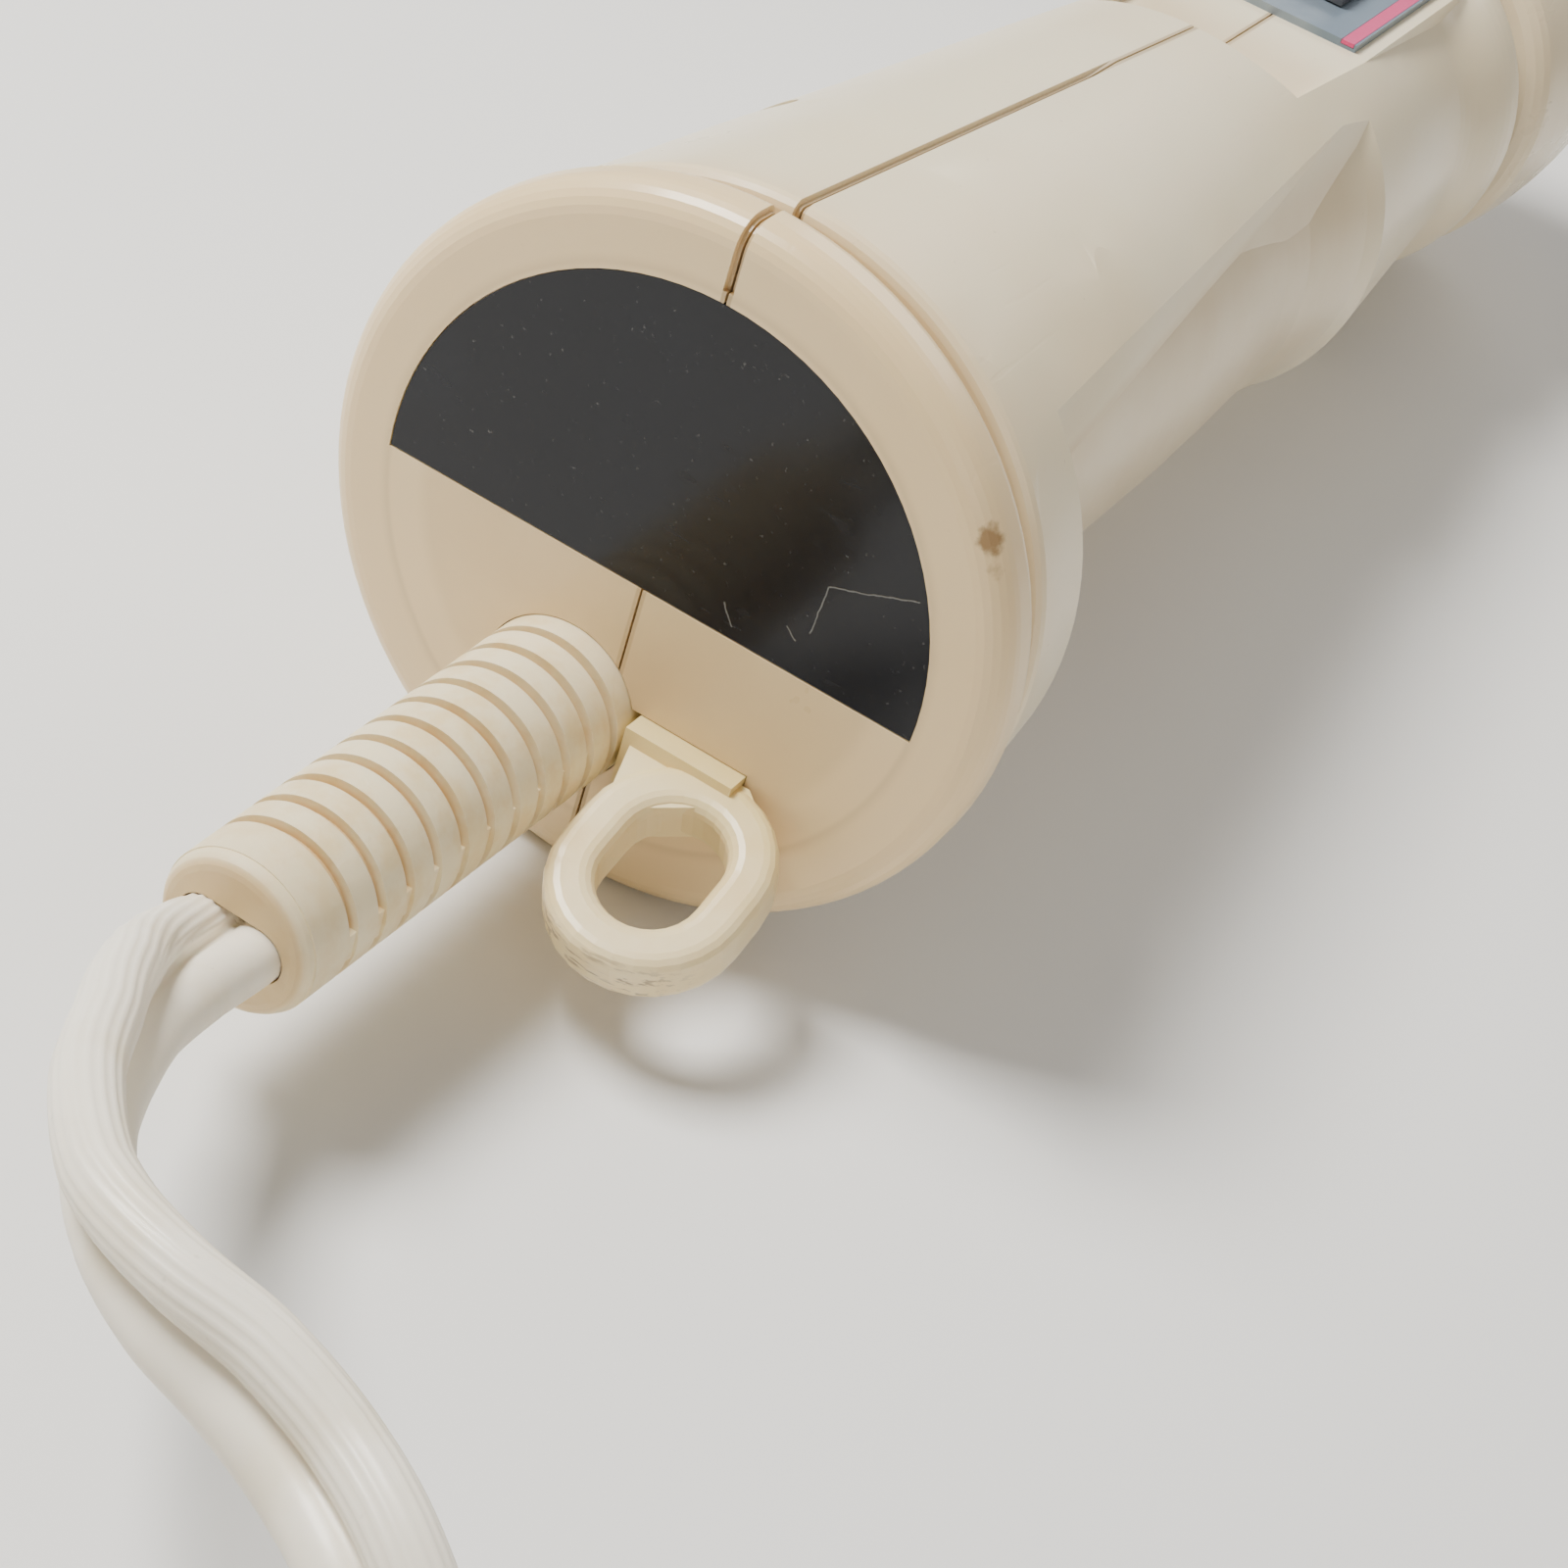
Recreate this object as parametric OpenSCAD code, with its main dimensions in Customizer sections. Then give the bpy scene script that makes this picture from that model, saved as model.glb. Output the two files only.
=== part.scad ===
// Handheld wand massager with a flat two-core cord, lying on its back end and head.
// Millimetres. +Y points from the tail to the head, +Z is up, the floor is z = 0.
// Stations along the wand are measured forward from the flat rear face.

/* [Tail] */
// Radius of the rounded rim round the rear face
bead_r = 30; // [27:0.5:36]
// Length of the rim along the wand
bead_len = 5; // [4:0.5:7]
// Rounding of the rim's rear edge
bead_edge = 2.4; // [1:0.2:4]
// Length of the groove between rim and body
groove_len = 3.2; // [2:0.2:4]
// Depth of that groove below the body
groove_depth = 1.6; // [0.8:0.2:2.4]

/* [Body] */
// Radius of the body just ahead of the groove
body_r = 28.9; // [26:0.1:35]
// Radius at the neck's narrowest place
neck_r = 19.2; // [17:0.1:24]
// Station of the neck's narrowest place
neck_at = 137; // [120:1:160]
// Radius of the flared lip behind the neck ring
lip_r = 21.4; // [19:0.1:26]
// Length from the narrowest place to the front of the lip
lip_len = 17; // [12:0.5:24]
// Wall thickness of the housing
wall = 2.5; // [2:0.1:3.5]
// Width of the seam between the two housing halves
seam = 0.2; // [0.1:0.05:0.4]
// Width of the sunk line that the seam runs in, over the top
seam_line = 0.9; // [0.6:0.05:1.4]
// Depth of the sunk line
seam_depth = 0.45; // [0.3:0.05:0.6]

/* [Finger grip] */
// Station where the hollow starts
grip_from = 17; // [15:0.5:25]
// Station where the hollow has run out
grip_to = 106; // [95:1:112]
// Radius of the grip inside the hollow
grip_r = 19.5; // [18:0.1:22]
// Angle from the top at which the hollow's upper edge runs
ridge_deg = 48; // [40:1:60]

/* [Switch land] */
// Height of the flat land above the wand's axis
land_z = 18; // [17:0.1:20]
// Half width of the land
land_half = 11; // [9:0.5:13]
// Station where the land's rear slope starts
land_from = 88; // [84:1:96]
// Station where the land ends
land_to = 146; // [140:1:149]
// Thickness of the switch plate
plate_t = 0.8; // [0.5:0.1:1.2]
// Travel of the thumb button from off to high
switch_travel = 7; // [5:0.5:8]

/* [Head] */
// Largest radius of the head
head_r = 23.5; // [21:0.1:30]
// Length of the head from the neck ring to its front
head_len = 51.4; // [45:0.5:65]
// Wall thickness of the head
head_wall = 2.2; // [1.8:0.1:3]
// Radius of the dark neck ring
ring_r = 18.7; // [17:0.1:20]
// Visible width of the dark neck ring
ring_gap = 3.6; // [3:0.1:5]

/* [Cord boot and loop] */
// Boot radius at the rear face
boot_r = 7; // [6:0.1:8]
// Boot radius at its tip
boot_tip_r = 6.4; // [5.4:0.1:7]
// Boot length behind the rear face
boot_len = 41; // [34:0.5:50]
// Width of the hole in the hang loop
loop_hole = 8.2; // [7:0.1:10]
// Length of the hole in the hang loop
loop_hole_len = 11.4; // [9.5:0.1:14]
// Width of the loop's bar
loop_bar = 4; // [3:0.1:5]
// Thickness of the loop
loop_t = 5; // [4:0.1:6]
// Droop of the loop below level
loop_droop = 20; // [10:1:30]

/* [Motor] */
// Radius of the motor can
can_r = 14; // [12:0.1:14.6]
// Length of the motor can
can_len = 46; // [40:0.5:48]
// Radius of the motor shaft
shaft_r = 1.5; // [1:0.1:2]

/* [Cord and plug] */
// Width of the flat cord
cord_w = 9; // [7:0.1:9.5]
// Thickness of the flat cord
cord_t = 4.5; // [3.5:0.1:4.8]
// Width of the tied hank
coil_w = 60; // [56:1:66]
// Width of the plug's body
plug_w = 24; // [20:0.5:28]

/* [Hidden] */
$fn = 96;
eps = 0.01;
// clearances: loose and snug seats, a running fit, and a tight hold
loose = 0.2;
snug = 0.1;
fit = 0.05;
grip = 0.02;
// where the wand lies: the box of everything but the free cord is centred on Y = 0
ring_from = neck_at + lip_len;
head_from = ring_from + ring_gap;
front = head_from + head_len;
shift_y = (boot_len - front) / 2;
axis_z = bead_r;
// tail
body_from = bead_len + groove_len;
groove_r = body_r - groove_depth;
rear_wall = wall + 0.5;
chamber_r = groove_r - wall;
chamber_to = grip_from - rear_wall;
core_in = grip_r - 0.4 - wall;
neck_in = neck_r - wall - 0.2;
front_wall = 4;
ring_bore = 12;
taper = (body_r - neck_r) / (neck_at - body_from);
function cone_r(s) = body_r - taper * (s - body_from);
// rating plate on the rear face
label_r = 24;
label_z = -0.6;
label_chord = -1.7;
label_t = 0.5;
// boot and loop stand side by side under the plate
boot_x = -4.5;
boot_z = -15;
flange_t = 2.8;
flange_r = boot_r + 2;
block_from = boot_x + boot_r + 0.4;
block_to = block_from + 9.8;
anchor_from = boot_x + flange_r + 0.4;
block_h = 5.4;
loop_x = 12;
anchor_t = 2.2;
// screws: station and height of each housing screw
screw_at = [[8.6, 20.6], [36, 19.5], [130, -12]];
boss_r = 3.6;
screw_r = 1.4;
screw_head_r = 2.8;
screw_seat = 5.5;
screw_len = 12.5;
// motor
can_from = 58;
can_to = can_from + can_len;
cap_len = 4;
can_wall = 1;
mount_r = core_in - snug;
channel_r = 1.5;
channel_at = 16.6;
channel_deg = 40;
bush_r = 4;
magnet_in = 10.7;
rotor_r = 10.1;
motor_shaft_to = 122;
// flexible drive and head
spring_r = 3.6;
head_shaft_r = 2;
head_shaft_from = 146;
head_shaft_to = head_from + 33;
spring_from = 114;
spring_to = 154;
cup_to = head_from + 36.4;
head_in = head_r - head_wall - 0.3;
step_at = head_from + 6.3;
frame_from = step_at + fit;
frame_t = 2.6;
frame_front = head_from + 29.4;
pillar_r = 2.2;
pillar_at = 17.4;
// switch
land_in = land_z - wall;
slot_half = 2.3;
slot_from = 122.5;
stem_half = 3;
stem_from = 123.2;
slot_to = stem_from + 2 * stem_half + switch_travel + 0.7;
box_from = 116;
box_to = 142;
box_floor = 7;
// cord clamp
clamp_from = 7.6;
clamp_to = 12.2;
clamp_screw_r = 0.9;
// route of the free cord: side, station and height against the wand's axis
route = [
    [-4.5, -41, -15], [-4.2, -47, -13.5], [-2, -54.2, -10.2], [1.8, -62, -6.6], [6.4, -69.8, -3],
    [12.2, -75.8, -1.4], [18.6, -78.6, -1.2], [25.2, -79.4, -1.9], [31.4, -80.8, -3], [37.2, -83.6, -3.6],
    [42.2, -86.6, -6.6], [45.2, -92, -10.6], [45.6, -98.6, -15], [45.8, -105.4, -19], [45.6, -112, -22.2],
    [44.9, -118.8, -24.4], [44, -125.6, -25.4], [43.7, -133, -25.5]
];
// roll of the flat cord at each point of the route, in degrees
roll = [0, 25, 56, 70, 74, 78, 94, 108, 115, 119, 117, 112, 106, 100, 96, 92, 90, 90];
// the rest is folded into a hank, two layers high, whose turns stand on their edges; it lies
// to the right of the wand's axis, so that the wand can't roll
coil_mid = [16, -168];
coil_len = 140;
coil_h = 2 * cord_w;
// the cord leaves the hank's inner turn, and the plug lies within the hank
tail = [
    [-2.7, -208, -16.5], [-2.1, -201, -16.6], [0.9, -193.5, -17.6], [6.1, -186.5, -19.4],
    [11.5, -180, -21.2], [14.9, -173, -22.2], [16, -165.3, -22.3]
];
tail_roll = [90, 96, 110, 135, 160, 176, 180];
plug_x = coil_mid[0];
plug_from = -165;
plug_len = 30;
plug_h = 15;
plug_z = plug_h / 2 + loose - axis_z;
blade_len = 17;
blade_gap = 12.7;

// ---- helpers -------------------------------------------------------------

// the wand's own frame: X to the right, Y forward from the rear face, Z up from the axis
module wand() {
    translate([0, shift_y, axis_z]) children();
}

// turns a solid of revolution, drawn along Z, to lie along Y
module turned(at = 0) {
    translate([0, at, 0]) rotate([-90, 0, 0]) children();
}

module ring_solid(outer, inner, from, to) {
    turned(from) difference() {
        cylinder(r = outer, h = to - from);
        translate([0, 0, -1]) cylinder(r = inner, h = to - from + 2);
    }
}

module block(x, y, z) {
    translate([x[0], y[0], z[0]]) cube([x[1] - x[0], y[1] - y[0], z[1] - z[0]]);
}

// points of an arc, as [radius, station] pairs
function arc(c, rx, ry, a, b, n) =
    [for (i = [0 : n]) [c[0] + rx * cos(a + (b - a) * i / n), c[1] + ry * sin(a + (b - a) * i / n)]];

// ---- housing -------------------------------------------------------------

// outline of the body, with every face moved in by d
function flare(n, d) = [
    for (i = [0 : n]) [
        neck_r + (lip_r - neck_r) * (1 - cos(180 * i / n)) / 2 - d,
        neck_at + (lip_len - 4) * i / n
    ]
];

function body_outline(d) = concat(
    [[0, d]],
    arc([bead_r - bead_edge, bead_edge], bead_edge - d, bead_edge - d, -90, 0, 6),
    arc([bead_r - 1, bead_len - 1], 1 - d, 1 - d, 0, 90, 3),
    [[groove_r - d, bead_len - d], [groove_r - d, body_from + d]],
    arc([body_r - 1, body_from + 1], 1 - d, 1 - d, -90, 0, 3),
    flare(9, d),
    arc([lip_r - 2.6, ring_from - 4], 2.6 - d, 4, 20, 90, 4),
    [[0, ring_from]]
);

module body_solid(d = 0) {
    turned() rotate_extrude() polygon(body_outline(d));
}

// the sunk line over the top, from the rating plate to the land
module seam_cut() {
    difference() {
        block([-seam_line / 2, seam_line / 2], [-1, land_from], [label_r + 0.4, bead_r + 5]);
        body_solid(seam_depth);
    }
}

// finger grip: everything outside a slim core, below the two ridge lines
module grip_hollow() {
    mid = (grip_from + grip_to) / 2;
    difference() {
        turned() rotate_extrude() polygon([
            [60, grip_from], [grip_r, grip_from], [grip_r, mid - 14], [grip_r + 0.2, mid + 4],
            [grip_r, mid + 14], [grip_r - 0.3, mid + 23], [grip_r - 0.2, mid + 29],
            [grip_r + 0.5, mid + 35], [grip_r + 1.3, mid + 41],
            [cone_r(grip_to) + 0.2, grip_to], [60, grip_to]
        ]);
        ridge_keep(grip_from - 6, grip_to + 6);
    }
}

// section of what stays above the ridges, at station s
function ridge_section(s) =
    let (r = cone_r(s), t = ridge_deg + acos((grip_r - 0.2) / r),
         foot = [(grip_r - 0.2) * sin(t), (grip_r - 0.2) * cos(t)],
         edge = [r * sin(ridge_deg), r * cos(ridge_deg)],
         far = foot + 1.7 * (edge - foot))
    [foot, far, [far[0], 60], [-far[0], 60], [-far[0], far[1]], [-foot[0], foot[1]]];

module ridge_keep(from, to) {
    a = ridge_section(from);
    b = ridge_section(to);
    n = len(a);
    polyhedron(
        points = concat([for (p = a) [p[0], from, p[1]]], [for (p = b) [p[0], to, p[1]]]),
        faces = concat(
            [[for (i = [0 : n - 1]) n - 1 - i]],
            [[for (i = [0 : n - 1]) n + i]],
            [for (i = [0 : n - 1]) [i, (i + 1) % n, n + (i + 1) % n]],
            [for (i = [0 : n - 1]) [i, n + (i + 1) % n, n + i]]
        )
    );
}

// flat land for the switch, with a sloped rear end
module land_cut() {
    rise = cone_r(land_from) - land_z;
    translate([-land_half, 0, 0]) rotate([90, 0, 90]) linear_extrude(2 * land_half) polygon([
        [land_from - 6, land_z + rise + 6], [land_from + rise, land_z], [land_to - 1, land_z],
        [land_to + 2, land_z + 10], [land_to + 2, land_z + 20], [land_from - 6, land_z + 20]
    ]);
}

module outer_solid() {
    difference() {
        union() {
            body_solid();
            block([-land_half, land_half], [land_from + 6, land_to + 2], [0, land_z]);
        }
        land_cut();
        grip_hollow();
        seam_cut();
    }
}

module cavity() {
    turned() rotate_extrude() polygon([
        [0, rear_wall], [chamber_r, rear_wall], [chamber_r, chamber_to],
        [core_in, chamber_to], [core_in, grip_to + 8], [neck_in, grip_to + 12],
        [neck_in, neck_at + 2], [neck_in, ring_from - front_wall],
        [0, ring_from - front_wall]
    ]);
}

// hollow above the core, behind and ahead of the rear motor mount
module upper_cavity(from, to) {
    intersection() {
        turned(from) cylinder(r1 = cone_r(from) - wall, r2 = cone_r(to) - wall, h = to - from);
        block([-15, 15], [from, to], [5, 40]);
    }
}

module wire_channels(from, to) {
    for (side = [-1, 1])
        translate([side * channel_at * sin(channel_deg), 0, channel_at * cos(channel_deg)])
            turned(from) cylinder(r = channel_r, h = to - from, $fn = 32);
}

module label_shape(r, from, to, lower) {
    intersection() {
        translate([0, 0, label_z]) turned(from) cylinder(r = r, h = to - from);
        block([-40, 40], [from - 1, to + 1], [lower, 40]);
    }
}

module screw_bosses() {
    for (p = screw_at)
        translate([0, p[0], p[1]]) rotate([0, 90, 0]) translate([0, 0, -30])
            cylinder(r = boss_r, h = 60, $fn = 48);
}

module screw_holes() {
    for (p = screw_at) translate([0, p[0], p[1]]) rotate([0, 90, 0]) {
        translate([0, 0, -40]) cylinder(r = screw_head_r + loose, h = 40 - screw_seat, $fn = 48);
        translate([0, 0, -20]) cylinder(r = screw_r + loose, h = 20, $fn = 48);
        translate([0, 0, -1]) cylinder(r = screw_r + grip, h = 11, $fn = 48);
    }
}

// ledges that hold the rectifier board by its long edges
module board_ledges() {
    for (side = [-1, 1], z = [[-11, -8.9], [-7.1, -5.6]])
        block(side > 0 ? [13, 16.2] : [-16.2, -13], [24, 48], z);
}

// saddle and posts under the cord, moulded with the left half
module clamp_saddle() {
    top = boot_z - cord_t / 2 - snug;
    intersection() {
        body_solid();
        union() {
            block([-18, 5.4], [clamp_from, clamp_to], [top - 4, top]);
            for (x = clamp_screw_x()) translate([x, (clamp_from + clamp_to) / 2, top - eps])
                cylinder(r = 2.1, h = cord_t + snug, $fn = 40);
        }
    }
}

function clamp_screw_x() = [boot_x - cord_w / 2 - 2.6, boot_x + cord_w / 2 + 2.6];

module housing() {
    difference() {
        union() {
            difference() {
                outer_solid();
                cavity();
                upper_cavity(22, 50);
                upper_cavity(66, land_from - 4);
                block([-8.6, 8.6], [land_from, land_to - 2], [neck_in - 6, land_in]);
            }
            intersection() {
                outer_solid();
                union() {
                    screw_bosses();
                    board_ledges();
                }
            }
        }
        // room for the motor and the switch, kept clear of the thin neck
        intersection() {
            block([-13, 13], [can_from - cap_len - 4, land_to - 2], [-1, land_in - 0.2]);
            turned(can_from - cap_len - 5) cylinder(r = neck_in + 0.7, h = 110);
        }
        wire_channels(46, grip_to + 9);
        screw_holes();
        turned(ring_from - front_wall - 1) cylinder(r = ring_bore, h = front_wall + 2);
        label_shape(label_r + snug, -1, label_t + snug, label_chord - snug);
        // one opening in the rear face for the boot and the loop's block
        translate([boot_x, 0, boot_z]) turned(-1) cylinder(r = boot_r + snug, h = rear_wall + 2);
        block([boot_x, block_to + snug], [-1, rear_wall + 1],
              [boot_z - block_h / 2 - snug, boot_z + block_h / 2 + snug]);
        // slot for the thumb button
        block([-slot_half, slot_half], [slot_from, slot_to], [land_in - 1, land_z + 1]);
    }
}

module left_shell() {
    color("ivory") wand() union() {
        intersection() {
            housing();
            block([-50, -seam / 2], [-5, 200], [-50, 50]);
        }
        clamp_post_part();
    }
}

module clamp_post_part() {
    difference() {
        clamp_saddle();
        for (x = clamp_screw_x()) translate([x, (clamp_from + clamp_to) / 2, boot_z - 6])
            cylinder(r = clamp_screw_r + grip, h = 12, $fn = 32);
    }
}

module right_shell() {
    color("antiquewhite") wand() intersection() {
        housing();
        block([seam / 2, 50], [-5, 200], [-50, 50]);
    }
}

module rating_plate() {
    color("midnightblue") wand() label_shape(label_r, snug, label_t + snug, label_chord);
}

// ---- switch --------------------------------------------------------------

plate_half = land_half - 1.6;
stripe_w = 1.4;
plate_from = land_from + 25;
plate_to = land_to - 2;

module switch_plate() {
    color("slategray") wand() difference() {
        block([-plate_half, plate_half], [plate_from, plate_to], [land_z, land_z + plate_t]);
        block([-slot_half, slot_half], [slot_from, slot_to], [land_z - 1, land_z + 2]);
        for (side = [-1, 1]) stripe(side, snug / 2);
    }
}

module stripe(side, grow) {
    mid = side * (plate_half - stripe_w / 2 - 0.3);
    block([mid - stripe_w / 2 - grow, mid + stripe_w / 2 + grow],
          [plate_from - (grow > 0 ? 1 : 0), plate_to + (grow > 0 ? 1 : 0)],
          [land_z + plate_t - 0.4 - grow, land_z + plate_t + (grow > 0 ? 1 : 0)]);
}

module plate_stripes() {
    color("deeppink") wand() for (side = [-1, 1]) stripe(side, 0);
}

stem_mid = stem_from + stem_half;
button_z = land_z + plate_t + loose;

module thumb_button() {
    color("dimgray") wand() difference() {
        union() {
            block([-4.5, 4.5], [stem_mid - 5.5, stem_mid + 5.5], [button_z, button_z + 1.6]);
            for (i = [-2 : 2])
                block([-4, 4], [stem_mid + i * 2 - 0.6, stem_mid + i * 2 + 0.6],
                      [button_z + 1.5, button_z + 2.4]);
        }
        block([-1.8 - fit, 1.8 + fit], [stem_mid - 2 - fit, stem_mid + 2 + fit],
              [button_z - 1, button_z + 1.2]);
    }
}

module slide_carrier() {
    color("silver") wand() union() {
        block([-1.8, 1.8], [stem_mid - 2, stem_mid + 2], [land_in, button_z + 1.15]);
        block([-2, 2], [stem_mid - stem_half, stem_mid + stem_half], [land_in - 0.6, land_z + 0.4]);
        block([-4.4, 4.4], [stem_mid - 4.4, stem_mid + 4.4], [10, land_in - 0.5]);
    }
}

module slide_contact() {
    color("gold") wand() block([-1.5, 1.5], [stem_mid - 4, stem_mid + 4], [9.3, 10]);
}

module switch_body() {
    color("saddlebrown") wand() difference() {
        block([-7, 7], [box_from, box_to], [box_floor, land_in - 0.35]);
        block([-5, 5], [box_from + 2, box_to - 2], [box_floor + 1.6, 40]);
        for (y = terminal_at()) block([-1.6, 1.6], [y - 0.5, y + 0.5], [0, 20]);
    }
}

function terminal_at() = [stem_mid - 3.5, stem_mid + 3.5, stem_mid + 10.5];

module switch_terminals() {
    color("goldenrod") wand() for (y = terminal_at()) union() {
        block([-1.6, 1.6], [y - 1.5, y + 1.5], [box_floor + 1.6, box_floor + 2.2]);
        block([-1.5, 1.5], [y - 0.4, y + 0.4], [box_floor - 2.6, box_floor + 2]);
    }
}

// ---- cord end, boot and loop ---------------------------------------------

groove_pitch = 3.3;
groove_n = 11;

module cord_boot() {
    grooves = [for (i = [0 : groove_n - 1]) -2.6 - groove_pitch * i];
    color("oldlace") wand() translate([boot_x, 0, boot_z]) difference() {
        union() {
            difference() {
                turned() rotate_extrude() polygon(concat(
                    [[0, rear_wall - eps], [boot_r, rear_wall - eps], [boot_r, 0],
                     [boot_tip_r + 0.1, 1.2 - boot_len]],
                    arc([boot_tip_r - 1.2, 1.2 - boot_len], 1.2, 1.2, 0, -90, 4),
                    [[0, -boot_len]]
                ));
                for (s = grooves) boot_groove(s);
            }
            // mould line strips bridge the grooves on both sides
            for (side = [-1, 1])
                translate([side * (boot_tip_r - 0.7), -boot_len / 2 - 1, 0])
                    cube([1.2, boot_len - 6, 2.4], center = true);
            turned(rear_wall + snug) cylinder(r = flange_r, h = flange_t);
            turned(rear_wall - 0.5) cylinder(r = boot_r - 0.2, h = 1);
        }
        cord_bore(-boot_len - 1, rear_wall + flange_t + 2);
    }
}

module boot_groove(s) {
    turned(s - 0.5) difference() {
        cylinder(r = boot_r + 1, h = 1);
        translate([0, 0, -1]) cylinder(r = boot_tip_r - 0.7, h = 3);
    }
}

module cord_bore(from, to) {
    translate([0, from, 0]) flat_bar(cord_w + 2 * fit, cord_t + 2 * fit, to - from);
}

// flat bar with round sides, along Y
module flat_bar(w, t, len) {
    turned() linear_extrude(len) union() {
        square([w - t, t], center = true);
        translate([(w - t) / 2, 0]) circle(d = t);
        translate([(t - w) / 2, 0]) circle(d = t);
    }
}

module cord_inner() {
    color("white") wand() translate([boot_x, 1.5 - boot_len, boot_z])
        flat_bar(cord_w, cord_t, boot_len - 1.5 + clamp_to + 0.6);
}

module cord_clamp() {
    x = clamp_screw_x();
    low = boot_z + cord_t / 2 + fit;
    color("lightgray") wand() difference() {
        block([x[0] - 2.2, x[1] + 2.2], [clamp_from, clamp_to], [low, low + 1.8]);
        for (p = x) translate([p, (clamp_from + clamp_to) / 2, low - 1])
            cylinder(r = clamp_screw_r + loose, h = 4, $fn = 32);
    }
}

module clamp_screws() {
    low = boot_z + cord_t / 2 + fit;
    color("silver") wand() for (p = clamp_screw_x())
        translate([p, (clamp_from + clamp_to) / 2, 0]) {
            translate([0, 0, low + 1.8]) cylinder(r = 1.9, h = 1.2, $fn = 32);
            translate([0, 0, boot_z - 4.5]) cylinder(r = clamp_screw_r, h = low + 6.5 - boot_z, $fn = 32);
        }
}

// cross-section of the loop's bar, [across, thickness]
function bar_section(w, t, e) = concat(
    arc([w / 2 - e, t / 2 - e], e, e, 0, 90, 4), arc([e - w / 2, t / 2 - e], e, e, 90, 180, 4),
    arc([e - w / 2, e - t / 2], e, e, 180, 270, 4), arc([w / 2 - e, e - t / 2], e, e, 270, 360, 4)
);

// middle line of the ring: two half circles joined by straight sides
function ring_line(r, len, n) = concat(
    [for (i = [0 : n]) let (a = 180 * i / n) [r * cos(a), r * sin(a), cos(a), sin(a)]],
    [for (i = [0 : n]) let (a = 180 + 180 * i / n) [r * cos(a), r * sin(a) - len, cos(a), sin(a)]]
);

module loop_ring() {
    line = ring_line((loop_hole + loop_bar) / 2, loop_hole_len - loop_hole, 14);
    part = bar_section(loop_bar, loop_t, 1.3);
    m = len(line);
    n = len(part);
    polyhedron(
        points = [for (p = line, q = part) [p[0] + p[2] * q[0], p[1] + p[3] * q[0], q[1]]],
        faces = concat(
            [for (i = [0 : m - 1], k = [0 : n - 1])
                [i * n + k, i * n + (k + 1) % n, (i + 1) % m * n + (k + 1) % n]],
            [for (i = [0 : m - 1], k = [0 : n - 1])
                [i * n + k, (i + 1) % m * n + (k + 1) % n, (i + 1) % m * n + k]]
        )
    );
}

// web between the block and the ring
module loop_web(near) {
    translate([0, 0, 0.5 - loop_t / 2]) linear_extrude(loop_t - 1) polygon([
        [block_from, 1], [block_to, 1], [loop_x + loop_hole / 2 + 2, 4.5 - near],
        [loop_x, loop_hole / 2 + 0.9 - near], [loop_x - loop_hole / 2 - 0.6, 1.5 - near],
        [loop_x - loop_hole / 2 - 2.6, -near]
    ]);
}

module hang_loop() {
    near = loop_hole / 2 + loop_bar - 0.4;
    half = block_h / 2;
    color("wheat") wand() union() {
        // block through the rear wall, with an anchor plate behind it
        block([block_from, block_to], [-2.2, rear_wall], [boot_z - half, boot_z + half]);
        block([anchor_from, block_to], [-2.2, rear_wall + anchor_t], [boot_z - half, boot_z + half]);
        block([anchor_from, block_to + 2.4], [rear_wall + snug, rear_wall + snug + anchor_t],
              [boot_z - half - 1.6, boot_z + half + 1.6]);
        difference() {
            translate([0, 0, boot_z]) rotate([loop_droop, 0, 0]) {
                translate([loop_x, -near, 0]) loop_ring();
                loop_web(near);
            }
            block([-40, 40], [-0.3, 20], [-50, 50]);
        }
    }
}

// ---- fasteners -----------------------------------------------------------

module housing_screws() {
    color("silver") wand() for (p = screw_at) translate([-screw_seat, p[0], p[1]])
        rotate([0, 90, 0]) {
            translate([0, 0, -0.5]) cylinder(r = screw_r, h = screw_len + 0.5, $fn = 40);
            translate([0, 0, -2]) difference() {
                cylinder(r = screw_head_r, h = 2, $fn = 40);
                block([-2, 2], [-0.4, 0.4], [-1, 0.8]);
                block([-0.4, 0.4], [-2, 2], [-1, 0.8]);
            }
        }
}

// ---- electrics -----------------------------------------------------------

board_z = -8.8;
board_t = 1.6;

module rectifier_board() {
    color("darkgreen") wand() block([-14, 14], [26, 46], [board_z, board_z + board_t]);
}

module diodes() {
    color("black") wand() for (i = [-1.5 : 1 : 1.5])
        translate([3 + i * 3.4, 31, board_z + board_t + 1.5])
            turned() cylinder(r = 1.4, h = 6, $fn = 32);
}

module capacitor() {
    color("royalblue") wand() translate([-8.5, 30, board_z + board_t + 3.5])
        turned() cylinder(r = 3.4, h = 11, $fn = 40);
}

wire_r = 0.65;

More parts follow.
